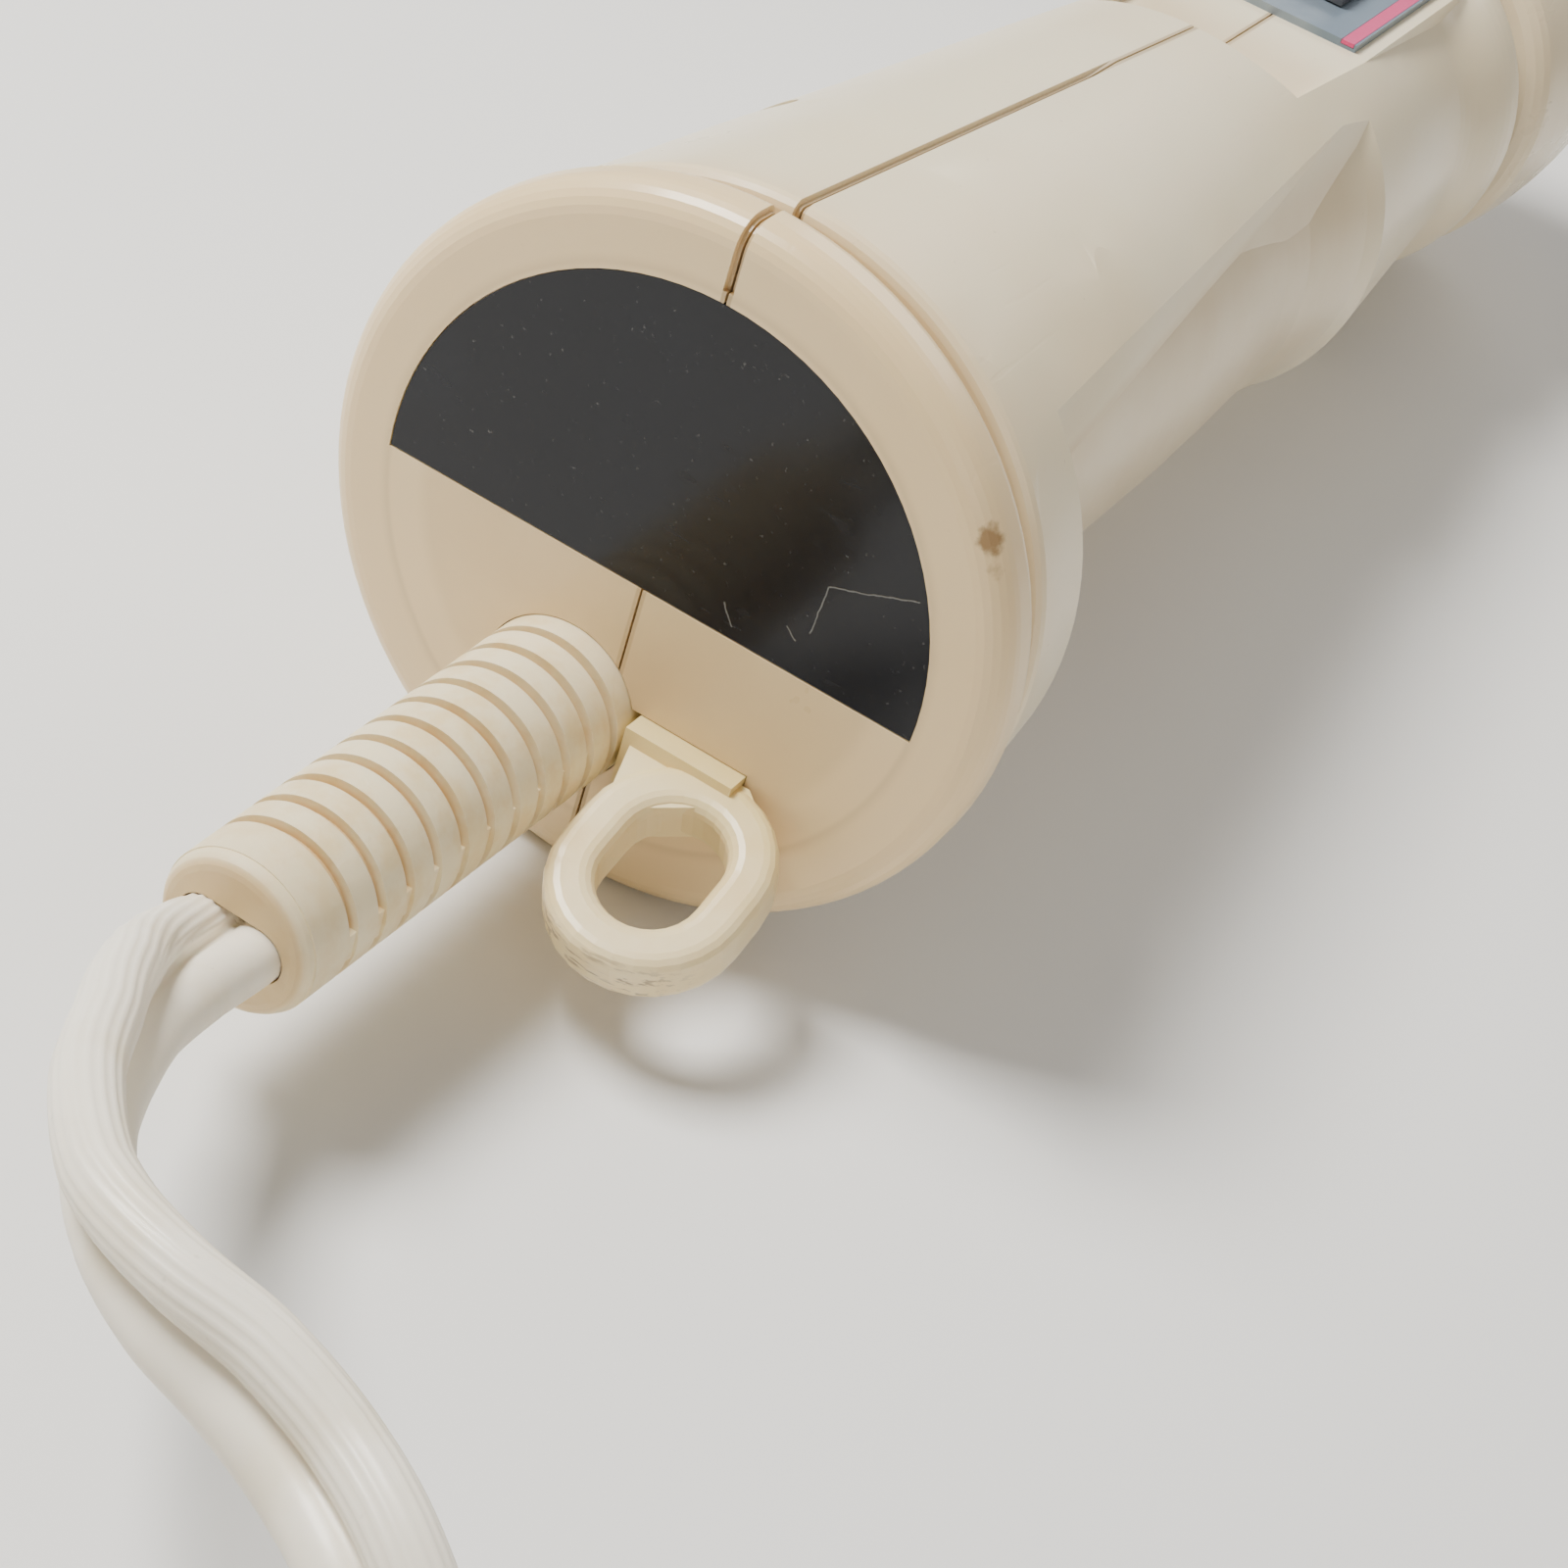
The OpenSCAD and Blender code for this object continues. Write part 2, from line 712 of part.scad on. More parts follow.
// wires, as points in the wand's frame
function wires() = [
    [[-6.5, 13.2, -15], [-6.2, 15.4, -13.6], [-7, 19, -11.5], [-8, 23, -9], [-8, 25.4, -8]],
    [[-2.5, 13.2, -15], [-1, 17, -13.2], [6, 21, 0], [10.6, 30, 11], [10.67, 46, 12.7],
     [10.67, 80, 12.72], [10.67, 108, 12.72], [9.6, 113, 11.4], [8.8, 118, 8.2],
     [7, 121.6, 5.4], [3.5, 121.8, 5.1], [0.6, 121.5, 5.4]],
    [[0.6, 130.9, 5.4], [-3.5, 130.5, 5.2], [-7, 127, 5.4], [-8.8, 120, 8], [-9.8, 113, 11.4],
     [-10.67, 108, 12.72], [-10.67, 80, 12.72], [-10.67, 48, 12.7], [-10.4, 44, 8],
     [-10.4, 43.5, -2], [-10.4, 43.5, -6.4]],
    [[4, 44, -6.4], [6, 46.8, -3], [8, 50, 2], [8, 53.6, 3]],
    [[-4, 44, -6.4], [-4, 46.9, -6.3], [-5, 50, -7.5], [-5, 53.6, -8]]
];

module lead_wires() {
    color("firebrick") wand() for (w = wires()) sweep(smooth(w, 2), 2 * wire_r, 2 * wire_r, 8, [0]);
}

// ---- motor ---------------------------------------------------------------

module motor_can() {
    color("lightsteelblue") wand() difference() {
        union() {
            turned(can_from) cylinder(r = can_r, h = can_len);
            turned(can_to - eps) cylinder(r = bush_r + 1.5, h = 3);
        }
        turned(can_from - 1) cylinder(r = can_r - can_wall, h = can_len - 1);
        turned(can_to - 3) cylinder(r = bush_r + grip, h = 8);
    }
}

module motor_end_cap() {
    color("dimgray") wand() difference() {
        union() {
            turned(can_from - cap_len) cylinder(r = can_r, h = cap_len - fit);
            turned(can_from - 0.5) cylinder(r = can_r - can_wall - fit, h = 2.5);
        }
        turned(can_from - cap_len - 1) cylinder(r = bush_r + grip, h = 9);
        turned(can_from - 1.5) cylinder(r = can_r - can_wall - 2, h = 5);
    }
}

module motor_magnets() {
    color("darkslategray") wand() for (side = [0, 180]) rotate([0, side, 0])
        intersection() {
            ring_solid(can_r - can_wall - fit, magnet_in, can_from + 8, can_to - 6);
            translate([0, 0, 6]) block([-20, 20], [can_from, can_to], [0, 20]);
        }
}

module bush(from, len, bore) {
    ring_solid(bush_r, bore, from, from + len);
}

module motor_bushes() {
    color("peru") wand() {
        bush(can_from - cap_len, cap_len - 1, shaft_r + fit);
        bush(can_to - 1, 4, shaft_r + fit);
    }
}

module rotor_core() {
    color("gray") wand() difference() {
        turned(can_from + 11) cylinder(r = rotor_r, h = can_len - 20);
        turned(can_from) cylinder(r = shaft_r + grip, h = can_len);
        for (i = [0 : 4]) rotate([0, 72 * i, 0])
            block([-0.9, 0.9], [can_from, can_to], [5.5, 20]);
    }
}

module rotor_winding() {
    color("chocolate") wand() {
        ring_solid(8.6, shaft_r + 0.4, can_from + 8.6, can_from + 11);
        ring_solid(8.6, shaft_r + 0.4, can_to - 9, can_to - 6);
    }
}

module commutator() {
    color("orange") wand() ring_solid(4, shaft_r + grip, can_from + 2.6, can_from + 8.2);
}

module motor_shaft() {
    color("white") wand() turned(can_from - 8) cylinder(r = shaft_r, h = motor_shaft_to - can_from + 8);
}

module brushes() {
    color("black") wand() for (side = [-1, 1])
        block(side > 0 ? [4.1, 10.9] : [-10.9, -4.1], [can_from + 3.2, can_from + 7.4], [-1.5, 1.5]);
}

module mount(from, to) {
    difference() {
        ring_solid(mount_r, can_r + fit, from, to);
        wire_channels(from - 1, to + 1);
        block([-20, 20], [from - 1, to + 1], [land_in - 0.5, 30]);
    }
}

module rear_mount() {
    color("black") wand() mount(can_from - cap_len + 0.5, can_from + 6);
}

module front_mount() {
    color("black") wand() mount(can_to - 9, can_to - 1);
}

module flex_spring() {
    turns = 12;
    pitch = (spring_to - spring_from) / turns;
    color("gainsboro") wand() turned() rotate_extrude() polygon(concat(
        [[spring_bore_rear, spring_from]],
        [for (i = [0 : turns - 1], k = [0, 1, 2])
            [spring_r - [0.6, 0, 0.6][k], spring_from + pitch * (i + [0.02, 0.5, 0.98][k])]],
        [[spring_bore_front, spring_to], [spring_bore_front, head_shaft_from - 1],
         [spring_bore_rear, motor_shaft_to + 1]]
    ));
}

spring_bore_rear = shaft_r + grip;
spring_bore_front = head_shaft_r + grip;

// ---- neck and head -------------------------------------------------------

module neck_gasket() {
    flange = ring_bore + 3.4;
    color("black") wand() turned() rotate_extrude() polygon([
        [8, ring_from - front_wall - 3.2], [flange, ring_from - front_wall - 3.2],
        [flange, ring_from - front_wall - snug], [ring_bore - snug, ring_from - front_wall - snug],
        [ring_bore - snug, ring_from + snug], [ring_r, ring_from + snug],
        [ring_r, head_from - snug], [ring_bore - snug, head_from - snug],
        [ring_bore - snug, head_from + 3 + snug], [flange, head_from + 3 + snug],
        [flange, head_from + 5.8], [8, head_from + 5.8]
    ]);
}

// outer radius of the head at station s
mid_head = head_from + 19.5;
function head_curve(s) = head_r - 1.1 * pow((s - mid_head) / 17, 2);

module head_base() {
    color("bisque") wand() difference() {
        turned() rotate_extrude() polygon(concat(
            [[0, head_from]],
            arc([head_curve(head_from + 3.4) - 3.4, head_from + 3.4], 3.4, 3.4, -90, 0, 5),
            [for (i = [1 : 7]) let (s = head_from + 3.4 + (cup_to - head_from - 3.4) * i / 7)
                [head_curve(s), s]],
            [[0, cup_to]]
        ));
        turned(head_from - 1) cylinder(r = ring_bore, h = 6);
        turned(head_from + 3) cylinder(r = 17, h = 10);
        turned(step_at) cylinder(r = head_in, h = 60);
    }
}

module head_cap() {
    edge = head_curve(cup_to);
    dome = front - cup_to - snug;
    spigot = head_in - snug;
    color("bisque") wand() difference() {
        union() {
            turned() rotate_extrude() polygon(concat(
                [[0, cup_to + snug]],
                arc([edge - dome, cup_to + snug], dome, dome, 0, 60, 5),
                cap_top(edge, dome),
                [[0, front]]
            ));
            turned(frame_front + frame_t + 0.3) cylinder(r = spigot, h = cup_to - frame_front - frame_t);
        }
        turned(frame_front + frame_t - 2) cylinder(r = spigot - 2, h = cup_to - frame_front - frame_t + 4);
        turned() rotate_extrude() polygon(concat(
            [[0, cup_to]],
            arc([0, cup_to], spigot - 2, dome - head_wall, 0, 90, 8)
        ));
    }
}

// soft crown of the cap, from the end of its corner arc to the middle
function cap_top(edge, dome) =
    let (r0 = edge - dome + dome * cos(60), h0 = cup_to + snug + dome * sin(60))
    [for (i = [1 : 5]) [r0 * cos(90 * i / 6), h0 + (front - h0) * sin(90 * i / 6)]];

module bearing_frame() {
    color("lightsteelblue") wand() difference() {
        union() {
            turned(frame_from) cylinder(r = head_in - snug, h = frame_t);
            turned(frame_from) cylinder(r = bush_r + 2.5, h = 7);
            turned(frame_front) cylinder(r = head_in - snug, h = frame_t);
            turned(frame_front - 2) cylinder(r = bush_r + 2.5, h = frame_t + 2);
            for (i = [0 : 2]) rotate([0, 120 * i, 0]) translate([0, 0, pillar_at])
                turned(frame_from + 1) cylinder(r = pillar_r, h = frame_front - frame_from, $fn = 40);
        }
        turned(head_from) cylinder(r = bush_r + grip, h = 60);
    }
}

module head_bushes() {
    color("peru") wand() {
        bush(frame_from + 1, 6, head_shaft_r + fit);
        bush(frame_front - 1.5, 4, head_shaft_r + fit);
    }
}

module head_shaft() {
    color("white") wand() turned(head_shaft_from) cylinder(r = head_shaft_r, h = head_shaft_to - head_shaft_from);
}

weight_from = head_from + 14.5;
weight_len = 11;
weight_r = 13.6;

module eccentric_weight() {
    color("goldenrod") wand() difference() {
        union() {
            turned(weight_from) cylinder(r = 5, h = weight_len);
            intersection() {
                turned(weight_from) cylinder(r = weight_r, h = weight_len);
                block([-20, 20], [weight_from, weight_from + weight_len], [-20, 0]);
            }
        }
        turned(weight_from - 1) cylinder(r = head_shaft_r + grip, h = weight_len + 2);
        translate([0, weight_from + weight_len / 2, 0]) cylinder(r = 1.25 + grip, h = 10, $fn = 32);
    }
}

module weight_screw() {
    color("silver") wand() translate([0, weight_from + weight_len / 2, head_shaft_r + fit])
        cylinder(r = 1.25, h = 3.2, $fn = 32);
}

// ---- cord ----------------------------------------------------------------

function unit(v) = v / norm(v);

// Catmull-Rom curve through the points, with n steps between two of them
function smooth(p, n) = concat(
    [for (i = [0 : len(p) - 2], k = [0 : n - 1])
        let (t = k / n, a = p[max(i - 1, 0)], b = p[i], c = p[i + 1], d = p[min(i + 2, len(p) - 1)])
        0.5 * (2 * b + (c - a) * t + (2 * a - 5 * b + 4 * c - d) * t * t
               + (3 * b - a - 3 * c + d) * t * t * t)],
    [p[len(p) - 1]]
);

function tangent(p, i) = unit(p[min(i + 1, len(p) - 1)] - p[max(i - 1, 0)]);

// roll angle at ring i of m, from a list of angles spread over the path
function roll_at(a, i, m) = len(a) < 2 ? a[0] :
    let (u = i / (m - 1) * (len(a) - 1), k = min(floor(u), len(a) - 2))
    a[k] + (a[k + 1] - a[k]) * (u - k);

function cord_ring(p, i, w, t, n, a) =
    let (dir = tangent(p, i), flat = cross(dir, [0, 0, 1]),
         side = norm(flat) < 0.05 ? [1, 0, 0] : unit(flat), top = cross(side, dir),
         r = roll_at(a, i, len(p)),
         u = side * cos(r) + top * sin(r), v = top * cos(r) - side * sin(r))
    [for (k = [0 : n - 1]) p[i] + u * (w / 2) * cos(360 * k / n) + v * (t / 2) * sin(360 * k / n)];

module sweep(p, w, t, n, a) {
    m = len(p);
    polyhedron(
        points = [for (i = [0 : m - 1]) each cord_ring(p, i, w, t, n, a)],
        faces = concat(
            [[for (k = [0 : n - 1]) k]],
            [[for (k = [0 : n - 1]) m * n - 1 - k]],
            [for (i = [0 : m - 2], k = [0 : n - 1])
                [i * n + k, (i + 1) * n + k, (i + 1) * n + (k + 1) % n]],
            [for (i = [0 : m - 2], k = [0 : n - 1])
                [i * n + k, (i + 1) * n + (k + 1) % n, i * n + (k + 1) % n]]
        )
    );
}

module cord_tube() {
    color("white") wand() sweep(smooth(route, 3), cord_w, cord_t, 12, roll);
}

module cord_coil() {
    end_r = coil_w / 2;
    side = coil_len / 2 - end_r;
    color("whitesmoke") wand() translate([coil_mid[0], coil_mid[1], -axis_z]) difference() {
        hull() for (y = [-side, side]) translate([0, y, 0]) rotate_extrude() polygon(concat(
            [[0, 0]],
            arc([end_r - 2, 2], 2, 2, -90, 0, 3),
            arc([end_r - 2, coil_h - 2], 2, 2, 0, 90, 3),
            [[0, coil_h]]
        ));
        hull() for (y = [-side, side]) translate([0, y, -1])
            cylinder(r = end_r - 3 * cord_t, h = coil_h + 2);
    }
}

module cord_tail() {
    color("white") wand() sweep(smooth(tail, 3), cord_w, cord_t, 12, tail_roll);
}

module plug_body() {
    h = plug_h / 2;
    color("ghostwhite") wand() translate([plug_x, plug_from, plug_z]) difference() {
        union() {
            turned() linear_extrude(12) square([cord_w + 5, cord_t + 5], center = true);
            translate([0, 10, 0]) rotate([0, 0, 0]) linear_extrude(2 * h, center = true) polygon([
                [-cord_w / 2 - 2, 0], [-plug_w / 2, 7], [-plug_w / 2, plug_len - 12],
                [2 - plug_w / 2, plug_len - 10], [plug_w / 2 - 2, plug_len - 10],
                [plug_w / 2, plug_len - 12], [plug_w / 2, 7], [cord_w / 2 + 2, 0]
            ]);
        }
        for (side = [-1, 1]) blade(side, 0.02, plug_len - 6);
    }
}

module blade(side, grow, from) {
    block([side * blade_gap / 2 - 0.75 - grow, side * blade_gap / 2 + 0.75 + grow],
          [from, plug_len + blade_len], [-3.2 - grow, 3.2 + grow]);
}

module plug_blades() {
    color("khaki") wand() translate([plug_x, plug_from, plug_z])
        for (side = [-1, 1]) difference() {
            blade(side, 0, plug_len - 6);
            translate([0, plug_len + blade_len - 4, 0]) rotate([0, 90, 0])
                cylinder(r = 1.6, h = 60, center = true, $fn = 32);
        }
}

// ---- which piece to build ------------------------------------------------

left_shell();
right_shell();
rating_plate();
switch_plate();
plate_stripes();
thumb_button();
slide_carrier();
slide_contact();
switch_body();
switch_terminals();
cord_boot();
hang_loop();
cord_inner();
cord_clamp();
clamp_screws();
housing_screws();
rectifier_board();
diodes();
capacitor();
lead_wires();
motor_can();
motor_end_cap();
motor_magnets();
motor_bushes();
rotor_core();
rotor_winding();
commutator();
motor_shaft();
brushes();
rear_mount();
front_mount();
flex_spring();
neck_gasket();
head_base();
head_cap();
bearing_frame();
head_bushes();
head_shaft();
eccentric_weight();
weight_screw();
cord_tube();
cord_coil();
cord_tail();
plug_body();
plug_blades();
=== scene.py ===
"""The wand massager on a pale studio floor: camera, free cord, materials and fine pieces.

Everything is in metres in the row's frame. The wand's own frame, used for places on it, is
(side, station forward from the rear face, height above the wand's axis).
"""
import math

import bpy
from mathutils import Matrix, Vector


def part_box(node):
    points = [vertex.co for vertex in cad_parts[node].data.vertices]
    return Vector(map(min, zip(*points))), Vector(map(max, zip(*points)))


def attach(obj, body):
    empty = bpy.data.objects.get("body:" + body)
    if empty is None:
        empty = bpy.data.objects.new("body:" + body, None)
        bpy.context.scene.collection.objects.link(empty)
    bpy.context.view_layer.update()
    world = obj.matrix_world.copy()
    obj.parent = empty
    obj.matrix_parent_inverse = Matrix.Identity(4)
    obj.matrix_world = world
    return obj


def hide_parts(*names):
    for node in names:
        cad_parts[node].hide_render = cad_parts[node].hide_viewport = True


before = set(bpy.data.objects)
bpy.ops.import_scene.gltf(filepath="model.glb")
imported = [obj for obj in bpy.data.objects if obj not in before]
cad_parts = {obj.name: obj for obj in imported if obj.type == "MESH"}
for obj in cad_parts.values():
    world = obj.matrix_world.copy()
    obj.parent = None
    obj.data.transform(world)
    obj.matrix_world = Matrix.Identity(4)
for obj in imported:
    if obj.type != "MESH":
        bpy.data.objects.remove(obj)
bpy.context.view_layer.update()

SHELL_LOW, SHELL_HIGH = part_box("left_shell")
REAR_Y = SHELL_LOW[1]
AXIS_Z = (SHELL_LOW[2] + SHELL_HIGH[2]) / 2


def on_wand(side, station, height):
    """A point given in the wand's frame, in metres, as a point of the row's frame."""
    return Vector((side, station + REAR_Y, height + AXIS_Z))


# ---- camera ---------------------------------------------------------------

CAMERA_AT = Vector((0.0743, -0.2553, 0.1523))
CAMERA_LOOKS = Vector((-0.260, 0.762, -0.593))
CAMERA_UP = Vector((-0.488, 0.426, 0.762))
LENS_MM = 67.5


def look_along(forward, up):
    """Rotation whose -Z is forward, with up as near to +Y as it can be."""
    back = -forward.normalized()
    right = up.cross(back).normalized()
    return Matrix((right, back.cross(right), back)).transposed()


def make_camera():
    """The camera that sees the wand as the photograph does."""
    data = bpy.data.cameras.new("camera")
    data.lens = LENS_MM
    data.sensor_width = 36
    data.clip_start = 0.01
    camera = bpy.data.objects.new("camera", data)
    camera.matrix_world = (
        Matrix.Translation(CAMERA_AT) @ look_along(CAMERA_LOOKS, CAMERA_UP).to_4x4()
    )
    bpy.context.scene.collection.objects.link(camera)
    bpy.context.scene.camera = camera


make_camera()

# ---- mesh helpers ---------------------------------------------------------


def new_piece(name, points, faces):
    """A smooth-shaded piece that rides on the housing."""
    mesh = bpy.data.meshes.new(name)
    mesh.from_pydata([tuple(p) for p in points], [], faces)
    mesh.validate()
    mesh.polygons.foreach_set("use_smooth", [True] * len(mesh.polygons))
    mesh.update()
    piece = bpy.data.objects.new(name, mesh)
    bpy.context.scene.collection.objects.link(piece)
    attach(piece, "housing")
    return piece


def tube_faces(rings, count, closed=False):
    """Quads between rings of count points each, with end caps unless closed on itself."""
    steps = rings if closed else rings - 1
    faces = [
        (
            i * count + k,
            i * count + (k + 1) % count,
            (i + 1) % rings * count + (k + 1) % count,
            (i + 1) % rings * count + k,
        )
        for i in range(steps)
        for k in range(count)
    ]
    if not closed:
        faces.append(tuple(reversed(range(count))))
        faces.append(tuple((rings - 1) * count + k for k in range(count)))
    return faces


def smoothstep(t):
    t = min(max(t, 0.0), 1.0)
    return t * t * (3 - 2 * t)


def curve_through(points, steps):
    """Catmull-Rom curve through points, as a list with steps points a span."""
    out = []
    last = len(points) - 1
    for i in range(last):
        a, b = points[max(i - 1, 0)], points[i]
        c, d = points[i + 1], points[min(i + 2, last)]
        for k in range(steps):
            t = k / steps
            out.append(
                0.5
                * (2 * b + (c - a) * t + (2 * a - 5 * b + 4 * c - d) * t * t
                   + (3 * b - a - 3 * c + d) * t ** 3)
            )
    out.append(points[-1])
    return out


# ---- free cord ------------------------------------------------------------

CORD_W = 0.009
CORE_R = 0.0022
FLUTES = 15
FLUTE_DEPTH = 0.00006
CORE_REACH_DEG = 158
# where the free cord starts, inside the boot's bore, and where it goes, in the wand's frame
BOOT_TIP = (-0.0045, -0.0396, -0.015)
ROUTE = [
    (-0.0045, -0.041, -0.015), (-0.0042, -0.047, -0.0135), (-0.002, -0.0542, -0.0102),
    (0.0018, -0.062, -0.0066), (0.0064, -0.0698, -0.003), (0.0122, -0.0758, -0.0014),
    (0.0186, -0.0786, -0.0012), (0.0252, -0.0794, -0.0019), (0.0314, -0.0808, -0.003),
    (0.0372, -0.0836, -0.0036), (0.0422, -0.0866, -0.0066), (0.0452, -0.092, -0.0106),
    (0.0456, -0.0986, -0.015), (0.0458, -0.1054, -0.019), (0.0456, -0.112, -0.0222),
    (0.0449, -0.1188, -0.0244), (0.044, -0.1256, -0.0254), (0.0437, -0.133, -0.0255),
]
# how far the flat cord has rolled at each point of the route, in degrees
ROLL = [0, 25, 56, 70, 74, 78, 94, 108, 115, 119, 117, 112, 106, 100, 96, 92, 90, 90]
# from the hank's inner turn to the plug
TAIL = [
    (-0.0027, -0.208, -0.0165), (-0.0021, -0.201, -0.0166), (0.0009, -0.1935, -0.0176),
    (0.0061, -0.1865, -0.0194), (0.0115, -0.18, -0.0212), (0.0149, -0.173, -0.0222),
    (0.016, -0.1653, -0.0223),
]
TAIL_ROLL = [90, 96, 110, 135, 160, 176, 180]
LEAD_STEPS, TAIL_STEPS = 9, 8
# the hank: a racetrack of turns that stand on their edges, three columns wide and two layers high
HANK_LOW, HANK_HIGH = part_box("cord_coil")
HANK_MID = (Vector(HANK_LOW) + Vector(HANK_HIGH)) / 2
HANK_END = (HANK_HIGH[0] - HANK_LOW[0]) / 2
HANK_SIDE = HANK_HIGH[1] - HANK_LOW[1] - 2 * HANK_END
COLUMNS = [HANK_END - CORD_W / 2 * (k + 0.5) for k in range(3)]
LAYERS = [CORD_W / 2, CORD_W * 1.5]
# the order in which the turns fill the hank: column from the outside, and layer
TURNS = [(0, 0), (0, 1), (1, 1), (1, 0), (2, 0), (2, 1)]
SIDE_STEPS, END_STEPS = 14, 22
SLACK = 0.0002


def on_hank(part, radius, height):
    """Point at 0..4 round the hank: side, end, side and end, clockwise from the near right."""
    leg, share = int(part) % 4, part % 1
    sign = 1 if leg < 2 else -1
    if leg in (0, 2):
        return HANK_MID.xy.to_3d() + Vector((sign * radius, sign * HANK_SIDE * (0.5 - share), height))
    angle = math.pi * share
    return HANK_MID.xy.to_3d() + Vector((
        sign * radius * math.cos(angle), -sign * (HANK_SIDE / 2 + radius * math.sin(angle)), height,
    ))


def hank_points(start):
    """All the hank's turns from the point start to where the tail leaves the inner turn."""
    parts = []
    for turn in range(len(TURNS)):
        for leg in range(4 if turn < len(TURNS) - 1 else 2):
            steps = END_STEPS if leg % 2 else SIDE_STEPS
            parts += [turn * 4 + leg + i / steps for i in range(steps)]
    first = 0.5 - (start.y - HANK_MID.y) / HANK_SIDE
    clear_of_lead = 0.06
    out = []
    for part in parts:
        if part < first + clear_of_lead:
            continue
        turn = int(part / 4)
        cell, following = TURNS[turn], TURNS[min(turn + 1, len(TURNS) - 1)]
        cross = smoothstep(part % 4 - 3)
        radius = COLUMNS[cell[0]] * (1 - cross) + COLUMNS[following[0]] * cross
        height = LAYERS[cell[1]] * (1 - cross) + LAYERS[following[1]] * cross
        slack = SLACK * math.sin(1.7 * part + turn)
        out.append(on_hank(part, radius + slack, height))
    return out


def spread_rolls(rolls, count):
    """Roll at each of count points, from rolls spread evenly over them."""
    out = []
    for i in range(count):
        at = i / (count - 1) * (len(rolls) - 1)
        k = min(int(at), len(rolls) - 2)
        out.append(rolls[k] + (rolls[k + 1] - rolls[k]) * (at - k))
    return out


def cord_line():
    """Centreline of the whole cord and its roll in degrees."""
    lead = curve_through([on_wand(*p) for p in [BOOT_TIP] + ROUTE], LEAD_STEPS)
    tail = curve_through([on_wand(*p) for p in TAIL], TAIL_STEPS)
    hank = hank_points(lead[-1])
    rolls = spread_rolls(ROLL[:1] + ROLL, len(lead)) + [ROLL[-1]] * len(hank)
    return lead + hank + tail, rolls + spread_rolls(TAIL_ROLL, len(tail))


def cord_outline():
    """Outline of two joined cores, one fluted and one plain, as (across, up) pairs."""
    out = []
    reach = CORE_REACH_DEG
    fluted_steps, plain_steps = FLUTES * 4, 24
    for i in range(fluted_steps + 1):
        angle = math.radians(-reach + 2 * reach * i / fluted_steps)
        radius = CORE_R - FLUTE_DEPTH * (1 - math.cos(math.tau * i / 4))
        out.append((CORE_R + radius * math.cos(angle), radius * math.sin(angle)))
    for i in range(plain_steps + 1):
        angle = math.radians(180 - reach + 2 * reach * i / plain_steps)
        out.append((-CORE_R + CORE_R * math.cos(angle), CORE_R * math.sin(angle)))
    return out


def make_cord():
    """The whole free cord as one piece, with its centreline."""
    line, rolls = cord_line()
    outline = cord_outline()
    points = []
    for i, at in enumerate(line):
        ahead = (line[min(i + 1, len(line) - 1)] - line[max(i - 1, 0)]).normalized()
        side = ahead.cross(Vector((0, 0, 1))).normalized()
        top = side.cross(ahead)
        turn = math.radians(rolls[i])
        across = side * math.cos(turn) + top * math.sin(turn)
        up = top * math.cos(turn) - side * math.sin(turn)
        points += [at + across * x + up * y for x, y in outline]
    cord = new_piece("cord", points, tube_faces(len(line), len(outline)))
    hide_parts("cord_tube", "cord_coil", "cord_tail")
    return cord, line


def rounded_loop(half_w, half_h, corner, steps):
    """Points round a rounded rectangle."""
    out = []
    for k, (sx, sy) in enumerate([(1, 1), (-1, 1), (-1, -1), (1, -1)]):
        for i in range(steps + 1):
            angle = math.pi / 2 * (k + i / steps)
            out.append((
                sx * (half_w - corner) + corner * math.cos(angle),
                sy * (half_h - corner) + corner * math.sin(angle),
            ))
    return out


def make_tie(name, side, along):
    """A soft band round one side of the hank, with a raised tab where its ends are twisted."""
    thick, half_w, corner = 0.0006, 0.0024, 0.0022
    tab_steps, tab_len, tab_rise = 8, 0.009, 0.0016
    middle = HANK_MID + Vector((side * COLUMNS[1], along, 0))
    profile = [(half_w, 0.0), (half_w * 0.7, thick), (-half_w * 0.7, thick), (-half_w, 0.0)]
    half = (CORD_W * 0.75 + 0.0002, HANK_HIGH[2] / 2 + 0.0001)
    loop = rounded_loop(*half, corner, 5)
    points = []
    for x, z in loop:
        outward = Vector((x / half[0], 0, z / half[1])).normalized()
        lift_share = 0.1 if z < 0.001 - half[1] else 1.0
        for across, lift in profile:
            points.append(middle + Vector((x, across, z)) + outward * lift * lift_share)
    band = new_piece(name + "_band", points, tube_faces(len(loop), len(profile), closed=True))
    points = []
    for i in range(tab_steps + 1):
        lift = half[1] + 0.0004 + tab_rise * math.sin(math.pi * i / tab_steps)
        reach = tab_len * (i / tab_steps - 0.5)
        points += [middle + Vector((reach, across * 0.9, lift + up)) for across, up in profile]
    return [band, new_piece(name + "_tab", points, tube_faces(tab_steps + 1, len(profile)))]


# ---- plug -----------------------------------------------------------------


PLUG_SIDES = 48
RELIEF_RINGS = 6
RING_PITCH = 0.0019


def superellipse(half_w, half_h, power):
    """Points round a rounded, squarish section."""
    out = []
    for i in range(PLUG_SIDES):
        angle = math.tau * i / PLUG_SIDES
        c, s = math.cos(angle), math.sin(angle)
        out.append((
            half_w * math.copysign(abs(c) ** (2 / power), c),
            half_h * math.copysign(abs(s) ** (2 / power), s),
        ))
    return out


